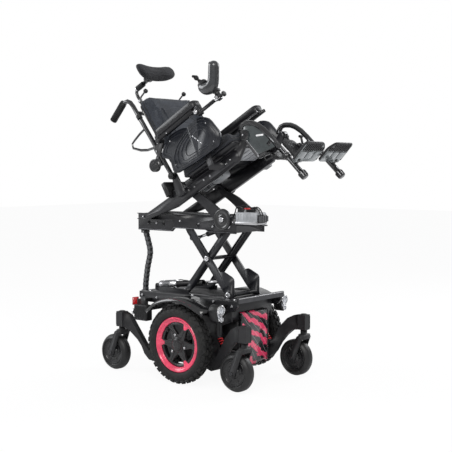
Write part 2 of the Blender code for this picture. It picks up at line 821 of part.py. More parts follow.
def rear_light(suffix, side):
    back, front, low, high = -0.282, -0.208, 0.227, 0.293
    near, far = side * 0.172, side * 0.208
    case = rounded(box((back, near, low), (front, far, high)), 0.004, 2)
    arm = box((-0.262, side * (DECK_HALF_Y + GAP), 0.304), (-0.232, side * 0.190, 0.318))
    neck = box((-0.262, near, high - 0.004), (-0.232, side * 0.190, 0.318))
    reflector = box((-0.292, side * 0.176, 0.289), (-0.284, side * 0.206, 0.321))
    holder = box((-0.288, side * 0.180, 0.286), (-0.256, side * 0.186, 0.314))
    lamp = rod((-0.299, side * 0.191, 0.260), (-0.280, side * 0.191, 0.260), 0.012, 12)
    light = join(case, arm, neck, reflector, holder, lamp)
    grooves = []
    for i in range(6):
        x = back + 0.011 + i * 0.0102
        grooves.append(
            box((x, far - side * 0.004, low + 0.008), (x + 0.0045, far + side * 0.002, high - 0.008)),
        )
    node("rear_light_" + suffix, cut(light, *grooves), black_plastic, chair)


def chain_low():
    return DECK_Z - 0.020


def cable_chain():
    top = platform_low() - GAP
    low = chain_low()
    route = [
        (-0.345, low),
        (-0.345, 0.363),
        (-0.334, 0.432),
        (-0.318, 0.501),
        (-0.330, 0.553),
        (-0.347, top),
    ]
    path = smooth(route, 3)
    band = ribbon(path, 0.015)
    band = [(x, min(max(z, low), top)) for x, z in band]
    solids = [plate(band, -0.076, -0.064)]
    for before, start, end in zip(path, path[1:], path[2:]):
        middle = Vector((start[0], start[1]))
        ahead = (Vector(end) - Vector(before)).normalized() * 0.0075
        if low + 0.020 < middle.y < top - 0.020:
            outline = belt((*(middle - ahead), 0.0105), (*(middle + ahead), 0.0105), steps=10)
            solids.append(plate(outline, -0.080, -0.060))
    foot = box((-0.359, -0.084, low), (-0.331, -0.056, low + 0.014))
    head = box((-0.359, -0.084, top - 0.014), (-0.333, -0.056, top))
    node("cable_chain", join(foot, head, *solids), black_plastic, chair)


def bar_outline(start, end):
    first, last = Vector(start), Vector(end)
    inward = (last - first).normalized() * BAR_TAPER
    return belt(
        (*first, BAR_END),
        (*(first + inward), BAR_WAIST),
        (*(last - inward), BAR_WAIST),
        (*last, BAR_END),
        steps=12,
    )


def lift_points():
    reach = BAR_LENGTH * cos(BAR_ANGLE)
    rise = BAR_LENGTH * sin(BAR_ANGLE)
    front_low = (LIFT_FRONT_X, LIFT_BASE_Z)
    front_high = (LIFT_FRONT_X, LIFT_BASE_Z + rise)
    rear_low = (LIFT_FRONT_X - reach, LIFT_BASE_Z)
    rear_high = (LIFT_FRONT_X - reach, LIFT_BASE_Z + rise)
    middle = (LIFT_FRONT_X - reach / 2, LIFT_BASE_Z + rise / 2)
    return front_low, front_high, rear_low, rear_high, middle


def crank_pin():
    return (LIFT_FRONT_X + CRANK * cos(CRANK_ANGLE), LIFT_BASE_Z + CRANK * sin(CRANK_ANGLE))


def strut_pin():
    turn = pi - BAR_ANGLE + STRUT_PIN_LEAN
    return (LIFT_FRONT_X + STRUT_PIN_ON_BAR * cos(turn), LIFT_BASE_Z + STRUT_PIN_ON_BAR * sin(turn))


def strut_head():
    return (LIFT_FRONT_X - 0.025, lift_points()[1][1] - 0.0015)


def lift_arms_outer():
    front_low, front_high, rear_low, rear_high, middle = lift_points()
    x, z = front_low
    solids = []
    cutting = []
    boot = belt(
        (x, z, BAR_END),
        (x + 0.012, z - 0.001, 0.0095),
        (x + 0.004, z + 0.058, 0.018),
        (x - 0.036, z + 0.074, 0.020),
        steps=12,
    )
    lug = belt((*strut_pin(), 0.011), (strut_pin()[0] + 0.012, strut_pin()[1] + 0.010, 0.012), steps=10)
    for suffix, side in SIDES:
        near, far = side * OUTER_BAR[0], side * OUTER_BAR[1]
        solids.append(plate(bar_outline(front_low, rear_high), near, far))
        solids.append(plate(boot, near, far))
        solids.append(pin(rear_high, side * 0.062, side * 0.075, ROLLER, 12))
        cutting.append(
            pin(middle, side * (OUTER_BAR[0] - 0.003), side * (OUTER_BAR[1] + 0.003), SHAFT + PIN_GAP),
        )
    solids.append(plate(lug, -OUTER_BAR[1], -OUTER_BAR[0]))
    solids.append(pin(strut_pin(), -OUTER_BAR[0] - 0.004, STRUT_Y - 0.0065, 0.0055, 10))
    solids.append(pin(rear_high, -OUTER_BAR[0] - 0.004, OUTER_BAR[0] + 0.004, SHAFT))
    crank = belt((*front_low, BAR_END), (*crank_pin(), 0.0108))
    solids.append(plate(crank, *CRANK_Y))
    shaft = pin(front_low, -EAR_Y[1] - 0.001, EAR_Y[1] + 0.001, 0.009)
    arms = cut(join(shaft, *solids), *cutting)
    hinge = pivot("Lift hinge", (front_low[0], 0, front_low[1]), chair)
    node("lift_arms_outer", arms, black_metal, hinge, hinge.location).location = (0, 0, 0)


def lift_arms_inner():
    front_low, front_high, rear_low, rear_high, middle = lift_points()
    solids = []
    for suffix, side in SIDES:
        near, far = side * INNER_BAR[0], side * INNER_BAR[1]
        solids.append(plate(bar_outline(front_high, rear_low), near, far))
        solids.append(
            pin(rear_low, side * (INNER_BAR[1] - 0.003), side * (OUTER_BAR[1] + 0.001), ROLLER, 12),
        )
    solids.append(pin(front_high, -PLATFORM_Y[1] - 0.001, PLATFORM_Y[1] + 0.001, SHAFT))
    shaft = pin(middle, -OUTER_BAR[1] - 0.0015, OUTER_BAR[1] + 0.0015, SHAFT)
    hinge = pivot("Scissor crossing", (middle[0], 0, middle[1]), chair)
    node("lift_arms_inner", join(shaft, *solids), black_metal, hinge, hinge.location).location = (0, 0, 0)


def lift_actuator():
    # Drawn along +X from the trunnion, then turned towards the crank
    length = hypot(crank_pin()[0] - ACTUATOR_PIN[0], crank_pin()[1] - ACTUATOR_PIN[1])
    turn = -atan2(crank_pin()[1] - ACTUATOR_PIN[1], crank_pin()[0] - ACTUATOR_PIN[0])
    hinge = pivot("Actuator trunnion", (ACTUATOR_PIN[0], ACTUATOR_Y, ACTUATOR_PIN[1]), chair, turn)
    tube_end = length - 0.134
    eye = pin((0, 0), -0.006, 0.006, 0.010)
    neck = rod((0.004, 0, 0), (0.020, 0, 0), 0.0055, 10)
    motor = rod((0.016, 0, 0), (0.102, 0, 0), ACTUATOR_MOTOR, 14)
    barrel = rod((0.100, 0, 0), (tube_end, 0, 0), ACTUATOR_TUBE, 12)
    body = join(eye, neck, motor, barrel)
    bore = rod((tube_end - 0.062, 0, 0), (tube_end + 0.01, 0, 0), ACTUATOR_ROD + PIN_GAP)
    body = cut(body, bore, pin((0, 0), -0.01, 0.01, 0.005 + PIN_GAP, 10))
    node("lift_actuator", body, bright_steel, hinge)
    slide = pivot("Lift rod slide", (length, 0, 0), hinge)
    thrust = rod((tube_end - 0.030 - length, 0, 0), (-0.006, 0, 0), ACTUATOR_ROD)
    head = pin((0, 0), -0.006, 0.006, 0.0105)
    node("lift_rod", join(thrust, head), bright_steel, slide)


def lift_strut():
    # Drawn along +X from the platform end, then turned towards the bar
    foot, head = strut_pin(), strut_head()
    length = hypot(foot[0] - head[0], foot[1] - head[1])
    turn = -atan2(foot[1] - head[1], foot[0] - head[0])
    hinge = pivot("Strut hinge", (head[0], STRUT_Y, head[1]), chair, turn)
    tube_end = 0.136
    eye = pin((0, 0), -0.006, 0.006, 0.009)
    neck = rod((0.004, 0, 0), (0.014, 0, 0), 0.0055, 10)
    barrel = rod((0.012, 0, 0), (tube_end, 0, 0), STRUT_TUBE, 12)
    body = join(eye, neck, barrel)
    bore = rod((0.024, 0, 0), (tube_end + 0.01, 0, 0), STRUT_ROD + PIN_GAP)
    body = cut(body, bore, pin((0, 0), -0.01, 0.01, 0.005 + PIN_GAP, 10))
    node("lift_strut", body, black_metal, hinge)
    slide = pivot("Strut rod slide", (length, 0, 0), hinge)
    thrust = rod((0.030 - length, 0, 0), (-0.005, 0, 0), STRUT_ROD, 10)
    tip = pin((0, 0), -0.006, 0.006, 0.0085)
    node("lift_strut_rod", join(thrust, tip), bright_steel, slide)


def platform_low():
    return lift_points()[1][1] - PLATFORM_DROP


def tilt_pin():
    return (TILT_PIN_X, lift_points()[1][1] + TILT_PIN_RISE)


def seat_platform():
    low = platform_low()
    high = low + PLATFORM_HEIGHT
    x, z = lift_points()[1]
    track_z = tilt_pin()[1]
    flange_z = z + ROLLER + GAP
    solids = []
    cutting = []
    flank = [
        (PLATFORM_REAR, low),
        (-0.165, low),
        (-0.150, low + 0.014),
        (0.020, low + 0.014),
        (0.040, low + 0.004),
    ]
    flank += [
        (PLATFORM_FRONT, low + 0.004),
        (PLATFORM_FRONT, high - 0.010),
        (PLATFORM_FRONT - 0.012, high),
        (PLATFORM_REAR, high),
    ]
    for suffix, side in SIDES:
        near, far = side * PLATFORM_Y[0], side * PLATFORM_Y[1]
        solids.append(plate(flank, near, far))
        solids.append(
            box(
                (-0.250, side * 0.060, flange_z),
                (-0.072, side * (PLATFORM_Y[0] + 0.002), flange_z + 0.005),
            ),
        )
        track = side * (PLATFORM_Y[1] - 0.002), side * 0.1045
        below, above = track_z - TRACK_ROLLER - GAP, track_z + TRACK_ROLLER + GAP
        solids.append(box((PLATFORM_REAR + 0.003, track[0], below - 0.003), (-0.160, track[1], below)))
        solids.append(box((PLATFORM_REAR + 0.003, track[0], above), (-0.160, track[1], above + 0.003)))
        solids.append(pin(tilt_pin(), side * (PLATFORM_Y[1] - 0.003), side * 0.1052, 0.009))
        cutting.append(
            pin((x, z), side * (PLATFORM_Y[0] - 0.003), side * (PLATFORM_Y[1] + 0.003), SHAFT + PIN_GAP),
        )
        for hole_x in (-0.300, -0.215, -0.020):
            cutting.append(pin((hole_x, low + 0.032), side * 0.08, side * 0.1, 0.010, 10))
    wide = PLATFORM_Y[1] - 0.002
    seat_z = module_low() - GAP
    top_plate = box((0.056, -wide, high - 0.012), (PLATFORM_FRONT - 0.002, wide, high - 0.008))
    rear_wall = box((PLATFORM_REAR + 0.001, -wide, low + 0.001), (PLATFORM_REAR + 0.006, wide, high - 0.001))
    rear_floor = box((PLATFORM_REAR + 0.002, 0.001 - wide, low + 0.002), (-0.300, wide - 0.001, low + 0.007))
    front_bar = box(
        (PLATFORM_FRONT - 0.016, -wide, low + 0.008),
        (PLATFORM_FRONT - 0.001, wide, seat_z - 0.001),
    )
    shelf = box((PLATFORM_FRONT - 0.020, 0.001 - wide, seat_z - 0.005), (0.290, -0.030, seat_z))
    lug_y = STRUT_Y + 0.0065
    hx, hz = strut_head()
    lug = plate(belt((hx, hz, 0.009), (hx, high - 0.012, 0.009), steps=10), lug_y, lug_y + 0.005)
    strut_axle = pin((hx, hz), STRUT_Y - 0.007, lug_y + 0.003, 0.005, 10)
    frame = join(top_plate, rear_wall, rear_floor, front_bar, shelf, lug, strut_axle, *solids)
    hinge = pivot("Platform hinge", (x, 0, z), chair)
    node("seat_platform", cut(frame, *cutting), black_metal, hinge, hinge.location).location = (0, 0, 0)


def module_low():
    return platform_low() + 0.043


def control_module():
    low = module_low()
    high = low + 0.050
    case = rounded(box((PLATFORM_FRONT + 0.002, -0.102, low), (0.290, -0.035, high)), 0.005)
    plugs = [
        box((0.192, -0.098, high - 0.002), (0.222, -0.078, high + 0.011)),
        box((0.192, -0.070, high - 0.002), (0.222, -0.046, high + 0.009)),
        box((0.232, -0.094, high - 0.002), (0.268, -0.050, high + 0.010)),
        box((0.288, -0.096, low + 0.010), (0.297, -0.042, high - 0.010)),
    ]
    node("control_module", join(case, *plugs), grey_plastic, chair)


def seat_pivot_place():
    x, z = tilt_pin()
    return (x - TILT_LINK * cos(TILT_LINK_ANGLE), z + TILT_LINK * sin(TILT_LINK_ANGLE))


def tilt_links():
    x, z = tilt_pin()
    tx, tz = seat_pivot_place()
    bow = [(tx, tz), (tx + 0.055, tz - 0.033), (tx + 0.115, tz - 0.065), (x, z)]
    outline = ribbon(smooth(bow, 3), [0.024 + 0.0004 * i * i + 0.0005 * i for i in range(10)])
    solids = []
    cutting = []
    for suffix, side in SIDES:
        near, far = side * LINK_Y[0], side * LINK_Y[1]
        solids.append(plate(outline, near, far))
        solids.append(plate(belt((x, z, LINK_HUB), steps=32), near, far))
        solids.append(plate(belt((tx, tz, 0.0165), steps=10), near, far))
        cutting.append(pin((x, z), side * (LINK_Y[0] - 0.003), side * (LINK_Y[1] + 0.003), 0.009 + PIN_GAP))
    cross = pin((tx, tz), -RAIL_Y[1] - 0.001, RAIL_Y[1] + 0.001, TILT_TUBE)
    hinge = pivot("Tilt hinge", (x, 0, z), chair)
    links = cut(join(cross, *solids), *cutting)
    node("tilt_links", links, black_metal, hinge, hinge.location).location = (0, 0, 0)


def track_point():
    # The rear roller in the seat's frame: level with the tilt pin, as far from the seat pivot as the pin is
    dx, dz = -TILT_LINK * cos(TILT_LINK_ANGLE), -TILT_LINK * sin(TILT_LINK_ANGLE)
    return (dx * cos(SEAT_TILT) + dz * sin(SEAT_TILT), dz * cos(SEAT_TILT) - dx * sin(SEAT_TILT))


def seat_frame(seat):
    rear = track_point()
    knee = (KNEE_S, KNEE_N)
    low, high = SEAT_PAN
    edge = SEAT_HALF_Y
    solids = []
    cutting = []
    for suffix, side in SIDES:
        near, far = side * RAIL_Y[0], side * RAIL_Y[1]
        beam = belt((*rear, 0.013), (-0.060, RAIL_N, RAIL_HALF), (RAIL_LENGTH, RAIL_N, RAIL_HALF))
        solids.append(plate(beam, near, far))
        solids.append(plate(belt((0, 0, 0.016), (-0.012, RAIL_N, 0.020), (0.012, RAIL_N, 0.020)), near, far))
        solids.append(pin(rear, side * (LINK_Y[0] - 0.0008), side * (RAIL_Y[0] + 0.002), TRACK_ROLLER, 12))
        hanger = belt((RAIL_LENGTH + 0.008, RAIL_N - 0.003, 0.020), (*knee, 0.015))
        solids.append(plate(hanger, near, side * (RAIL_Y[0] + 0.007)))
        solids.append(pin(knee, near, side * (LEG_Y + 0.013), 0.007))
        bracket = side * (CUSHION_HALF_Y + 0.001), side * (CANE_Y - 0.0115)
        post = belt((0.004, RAIL_N, 0.014), (0.026, RAIL_N, 0.014), (*RECLINE_PIVOT, 0.016))
        solids.append(plate(post, *bracket))
        solids.append(pin(RECLINE_PIVOT, bracket[0], side * (CANE_Y + 0.0108), 0.006))
        solids.append(box((-0.008, side * 0.112, RAIL_N - 0.010), (0.038, bracket[1], RAIL_N + 0.010)))
        stay = side * (GUARD_Y[0] - 0.0063), side * (GUARD_Y[0] - GAP)
        solids.append(box((0.214, side * 0.112, RAIL_N - 0.008), (0.246, stay[1], RAIL_N + 0.008)))
        solids.append(rounded(box((0.214, stay[0], RAIL_N - 0.008), (0.246, stay[1], 0.092)), 0.002, 1))
        cutting.append(
            pin((0, 0), side * (RAIL_Y[0] - 0.003), side * (RAIL_Y[1] + 0.003), TILT_TUBE + PIN_GAP, 12),
        )
    for start, end, below in ((-0.062, -0.040, -0.010), (0.196, 0.218, -0.008), (0.322, 0.344, -0.010)):
        solids.append(box((start, -RAIL_Y[1] + 0.001, below), (end, RAIL_Y[1] - 0.001, high - 0.002)))
    for side in (-1, 1):
        solids.append(
            box(
                (0.024, side * (RAIL_Y[0] + 0.001), -0.014),
                (SEAT_FRONT - 0.02, side * (RAIL_Y[1] - 0.001), high - 0.002),
            ),
        )
    solids.append(box((-0.050, -RAIL_Y[1] + 0.001, low + 0.001), (0.040, -RAIL_Y[1] + 0.016, high - 0.001)))
    solids.append(box((-0.050, RAIL_Y[1] - 0.016, low + 0.001), (0.040, RAIL_Y[1] - 0.001, high - 0.001)))
    solids.append(box((0.120, -0.055, -0.0113), (0.150, 0.0, low + 0.002)))
    pan = plate(
        fillet_loop([(0.0680, -edge), (SEAT_FRONT, -edge), (SEAT_FRONT, edge), (0.0680, edge)], 0.018),
        low,
        high,
        "Z",
    )
    node("seat_frame", cut(join(pan, *solids), *cutting), black_metal, seat)


def seat_cushion(seat):
    low = SEAT_PAN[1] + GAP
    edge = CUSHION_HALF_Y
    plan = [(0.045, -edge), (SEAT_FRONT, -edge), (SEAT_FRONT, -0.095), (SEAT_FRONT + 0.024, -0.088)]
    plan += [(SEAT_FRONT + 0.024, 0.088), (SEAT_FRONT, 0.095), (SEAT_FRONT, edge), (0.045, edge)]
    base = rounded(plate(fillet_loop(plan, 0.022), low, 0.054, "Z"), 0.007, 1, 50)
    bolsters = []
    for side in (-1, 1):
        roll = box((0.052, side * (edge - 0.004), 0.040), (SEAT_FRONT - 0.008, side * 0.100, CUSHION_TOP))
        bolsters.append(rounded(roll, 0.009))
    pommel = rounded(
        box((SEAT_FRONT - 0.085, -0.024, 0.040), (SEAT_FRONT + 0.014, 0.024, CUSHION_TOP + 0.020)),
        0.012,
        2,
    )
    rear = rounded(box((0.050, -0.110, 0.040), (0.150, 0.110, 0.057)), 0.005, 2)
    node("seat_cushion", join(base, *bolsters, pommel, rear), fabric, seat)


def side_guard(suffix, side, seat):
    near, far = side * GUARD_Y[0], side * GUARD_Y[1]
    lower = [(0.054, 0.028), (0.062, 0.089), (0.110, 0.128), (0.213, 0.160), (0.285, 0.158), (0.318, 0.134)]
    lower += [(0.342, 0.047), (0.314, 0.010), (0.180, 0.014)]
    upper = [(0.021, 0.127), (0.046, 0.150), (0.072, 0.166), (0.122, 0.179), (0.180, 0.170), (0.215, 0.150)]
    upper += [(0.160, 0.120), (0.070, 0.085)]
    panel = plate(fillet_loop(lower, 0.018), near, far)
    hip = plate(fillet_loop(upper, 0.012), side * (GUARD_Y[0] + 0.002), side * (GUARD_Y[0] + 0.010))
    node("side_guard_" + suffix, join(panel, hip), black_plastic, seat)


def tilt_drive(seat):
    high = -0.0116
    case = rounded(box((0.094, -0.053, high - 0.032), (0.170, -0.002, high)), 0.006)
    start, end = (0.030, -0.030, high - 0.0175), (0.100, -0.030, high - 0.0175)
    motor = rod(start, end, 0.0165, 12)
    cap = rod((0.024, *start[1:]), (0.032, *start[1:]), 0.012, 20, 0.0155)
    node("tilt_drive", join(case, motor, cap), grey_plastic, seat)


def rear_case(seat):
    plan = [
        (-0.0925, 0.128),
        (-0.0925, -0.128),
        (-0.0835, -0.139),
        (-0.0625, -0.139),
        (-0.0625, 0.139),
        (-0.0835, 0.139),
    ]
    case = plate(plan, -0.0015, 0.060, "Z")
    node("rear_case", rounded(case, 0.004, 1, 50), black_plastic, seat)


def back_frame(back):
    lean = (0, CANE_TOP)
    solids = []
    cutting = []
    for suffix, side in SIDES:
        y = side * CANE_Y
        end = (-0.125, CANE_TOP + 0.003)
        corner = (0.0, CANE_TOP + 0.028)
        flat = fillet([(0, 0.004), corner, end], 0.055, 4)
        solids.append(tube([(u, y, v) for u, v in flat], CANE_RADIUS, 2))
        grip = Vector((end[0] - corner[0], 0, end[1] - corner[1])).normalized()
        finish = Vector((end[0], y, end[1]))
        solids.append(rod(finish - grip * 0.092, finish + grip * 0.006, 0.0145, 14))
        solids.append(pin((0, 0), side * (CANE_Y - 0.0105), side * (CANE_Y + 0.0100), 0.0145, 12))
        loop = fillet(
            [(-0.002, 0.250), (-0.060, 0.252), (-0.121, 0.243), (-0.064, 0.178), (-0.002, 0.150)],
            0.020,
            1,
        )
        solids.append(tube([(u, y, v) for u, v in loop], 0.0055, 0))
        solids.append(pin((-0.050, 0.092), y - side * 0.006, y + side * 0.008, 0.027, 14))
        solids.append(
            plate(
                belt((0, 0.070, 0.009), (0, 0.115, 0.009), (-0.045, 0.092, 0.012), steps=10),
                y - 0.004,
                y + 0.004,
            ),
        )
        s, n = ARMREST_PIVOT[0] - RECLINE_PIVOT[0], ARMREST_PIVOT[1] - RECLINE_PIVOT[1]
        hinge = (s * cos(BACK_LEAN) + n * sin(BACK_LEAN), n * cos(BACK_LEAN) - s * sin(BACK_LEAN))
        ear = belt((0, hinge[1] - 0.032, 0.010), (0, hinge[1] - 0.008, 0.010), (*hinge, 0.0090))
        solids.append(plate(ear, y + side * 0.003, y + side * 0.0105))
        solids.append(pin(hinge, y + side * 0.004, side * (ARMREST_Y + 0.0140), 0.0055, 10))
        knob = fillet(
            [(0.010, BACK_TOP - 0.030), (0.010, BACK_TOP + 0.017), (0.050, BACK_TOP + 0.020)],
            0.012,
            2,
        )
        solids.append(tube([(u, side * 0.120, v) for u, v in knob], 0.004, 1))
        solids.append(ball((0.056, side * 0.120, BACK_TOP + 0.020), 0.0105, 4))
        cutting.append(pin((0, 0), side * (CANE_Y - 0.014), side * (CANE_Y + 0.014), 0.006 + PIN_GAP))
    for v in (0.110, 0.330):
        solids.append(rod((0, -CANE_Y, v), (0, CANE_Y, v), 0.0085, 12))
    shell = fillet_loop([(-0.150, 0.040), (0.150, 0.040), (0.145, 0.374), (-0.145, 0.374)], 0.030, 4)
    panel = plate([(y, v) for y, v in shell], 0.0065, 0.0145, "X")
    u, v = HEADREST_STEM
    block = rounded(box((u - 0.014, -0.015, 0.238), (u + 0.014, 0.015, 0.300)), 0.003)
    arm = box((u + 0.008, -0.012, 0.256), (0.010, 0.012, 0.284))
    solids.append(box((-0.004, -0.030, 0.240), (0.010, 0.030, 0.300)))
    frame = cut(join(panel, *solids, block, arm), *cutting)
    channel = rod((u, 0, 0.22), (u, 0, 0.32), 0.0075 + PIN_GAP)
    node("back_frame", cut(frame, channel), black_metal, back)


def back_cushion(back):
    rear = 0.0145 + GAP
    front = rear + 0.046
    face = fillet_loop(
        [(-BACK_HALF_Y, 0.024), (BACK_HALF_Y, 0.024), (0.145, BACK_TOP), (-0.145, BACK_TOP)],
        0.035,
        5,
    )
    base = rounded(plate(face, rear, front, "X"), 0.010, 1, 50)
    bolsters = []
    for side in (-1, 1):
        wing = plate(
            fillet_loop(
                [
                    (side * 0.157, 0.080),
                    (side * 0.100, 0.080),
                    (side * 0.100, 0.300),
                    (side * 0.148, 0.300),
                ],
                0.015,
                3,
            ),
            front - 0.010,
            front + 0.013,
            "X",
        )
        bolsters.append(rounded(wing, 0.007, 1, 50))
    node("back_cushion", join(base, *bolsters), fabric, back)


def headrest(back):
    u, v = HEADREST_STEM
    hinge = HEADREST_HINGE
    slide = pivot("Headrest slide", (u, 0, v), back)
    bend = fillet([(u, 0, 0.200), (u, 0, v), (hinge[0] - 0.012, 0, hinge[1])], 0.030, 3)
    stem = tube(bend, 0.0075, 2)
    knuckle = pin(hinge, -0.012, 0.012, 0.013, 12)
    neck = rod((hinge[0] - 0.030, 0, hinge[1] + 0.0028), (hinge[0] - 0.006, 0, hinge[1]), 0.009, 12)
    axle = pin(hinge, -0.024, 0.024, 0.004, 10)
    node(
        "headrest_stem",
        join(stem, knuckle, neck, axle),
        black_metal,
        slide,
        slide.location,
    ).location = (0, 0, 0)
    pitch = pivot("Headrest hinge", (*hinge[:1], 0, hinge[1]), back)
    inner = [(hinge[0] + 0.076 - 0.034 * cos(t / 5 * 1.35), 0.104 * sin(t / 5 * 1.35)) for t in range(-5, 6)]
    outline = ribbon(inner, 0.036)
    pad = plate(outline, hinge[1] - 0.036, hinge[1] + 0.030, "Z")
    pad = rounded(pad, 0.012, 1, 50)
    ears = []
    for low in (-0.0205, 0.0125):
        ear = belt((*hinge, 0.010), (hinge[0] + 0.034, hinge[1] - 0.003, 0.014), steps=10)
        ears.append(plate(ear, low, low + 0.008))
    solid = cut(join(pad, *ears), pin(hinge, -0.03, 0.03, 0.004 + PIN_GAP, 10))
    node("headrest_pad", solid, vinyl, pitch, pitch.location).location = (0, 0, 0)


def armrest(suffix, side, seat):
    # Drawn in the seat's frame about its flip-up hinge, which rides on the back
    hs, hn = ARMREST_PIVOT
    near, far = side * (ARMREST_Y + 0.002), side * (ARMREST_Y + 0.0125)
    bar = [
        (hs, hn - 0.006),
        (ARMREST_END + 0.014, hn - 0.006),
        (ARMREST_END + 0.014, hn + 0.006),
        (hs, hn + 0.006),
    ]
    boss = pin((hs, hn), side * (ARMREST_Y - 0.0120), side * (ARMREST_Y + 0.0130), 0.0125, 12)
    start = hs + 0.0165
    plan = [
        (start, side * 0.172),
        (ARMREST_END, side * 0.172),
        (ARMREST_END, side * 0.228),
        (start, side * 0.228),
    ]
    pad = rounded(plate(fillet_loop(plan, 0.022, 4), hn + 0.0062, hn + 0.034, "Z"), 0.009, 1, 50)
    web = box((0.070, side * 0.196, hn + 0.002), (ARMREST_END - 0.03, side * 0.220, hn + 0.010))
    solids = [plate(bar, near, far), boss, pad, web]
    if suffix == "right":
        y, n = STICK_TUBE_Y, STICK_TUBE_N
        clamp = box(
            (ARMREST_END - 0.006, y - 0.013, n - 0.012),
            (ARMREST_END + 0.016, y + 0.009, hn + 0.004),
        )
        solids.append(rounded(clamp, 0.002, 1))
        solids.append(rod((ARMREST_END, y, n), (STICK_AXIS_S + 0.004, y, n), 0.0075))
        solids.append(
            rounded(
                box(
                    (STICK_AXIS_S - 0.012, y - 0.012, n - 0.011),
                    (STICK_AXIS_S + 0.012, y + 0.009, n + 0.009),
                ),
                0.002,
                1,
            ),
        )
        solids.append(rod((STICK_AXIS_S, y, n), (STICK_AXIS_S, y, n + 0.030), 0.006))
        solids.append(
            rod((STICK_AXIS_S + 0.010, y, n - 0.003), (STICK_AXIS_S + 0.026, y, n - 0.003), 0.004, 10),
        )
        solids.append(
            rod((STICK_AXIS_S + 0.022, y, n - 0.003), (STICK_AXIS_S + 0.030, y, n - 0.003), 0.009, 14),
        )
        solids.append(
            rod((ARMREST_END + 0.004, y - 0.010, n), (ARMREST_END + 0.004, y - 0.028, n), 0.008, 14),
        )
    solid = cut(join(*solids), pin((hs, hn), side * 0.18, side * 0.22, 0.0055 + PIN_GAP, 10))
    hinge = pivot("Armrest hinge " + suffix, (hs, side * ARMREST_Y, hn), seat)
    node("armrest_" + suffix, solid, vinyl, hinge, hinge.location).location = (0, 0, 0)


def joystick(seat):
    y = STICK_TUBE_Y
    s, n = STICK_AXIS_S, STICK_TUBE_N + 0.009 + GAP
    swing = pivot("Joystick swing axis", (s, y, n), seat)
    outline = belt(
        (0.379, 0.222, 0.026),
        (0.416, 0.207, 0.025),
        (0.460, 0.262, 0.027),
        (0.405, 0.262, 0.012),
        steps=10,
    )
    pod = rounded(plate(outline, y - 0.040, y + 0.008), 0.007, 1, 50)
    socket = rod((s, y, n), (s, y, 0.192), 0.011, 12)
    tilt = radians(112)
    up = Vector((cos(tilt), 0, sin(tilt)))
    middle = Vector((0.380, y - 0.016, 0.247))
    collar = rod(middle - up * 0.010, middle + up * 0.004, 0.0195, 24, 0.018)
    button = ball((0.466, y - 0.016, 0.280), 0.012, 5)
    cup = rod(middle - up * 0.009, middle + up * 0.026, 0.0155, 12)
    bore = rod((s, y, n - 0.01), (s, y, n + 0.024), 0.006 + PIN_GAP)
    body = cut(join(pod, socket, collar, button), cup, bore)
    node("joystick_pod", body, black_plastic, swing, swing.location).location = (0, 0, 0)
    # The gimbal: a yoke that rocks fore and aft, and the stick that rocks sideways in its slot
    lean = tilt - pi / 2
    cradle = pivot("Joystick yoke axis", middle, seat, -lean)
    yoke = rod((0, 0, -0.004), (0, 0, 0.0045), 0.0125, 20, 0.0105)
    slot = box((-0.0042, -0.0085, -0.01), (0.0042, 0.0085, 0.01))
    trunnion = rod((0, -0.0145, 0), (0, 0.0145, 0), 0.002)
    node("joystick_yoke", cut(join(yoke, trunnion), slot), rubber, cradle)
    grip = rod((0, 0, -0.003), (0, 0, 0.030), 0.0034, 12)
    skirt = rod((0, 0, 0.0115), (0, 0, 0.022), 0.0105, 20, 0.0045)
    knob = turned(
        [(0, 0.050), (0.006, 0.0485), (0.0095, 0.043), (0.0095, 0.037), (0.0055, 0.028), (0, 0.027)],
        (0, 0, 0),
        (0, 0, 1),
        20,
    )
    node("joystick_stick", join(grip, skirt, knob), rubber, cradle)


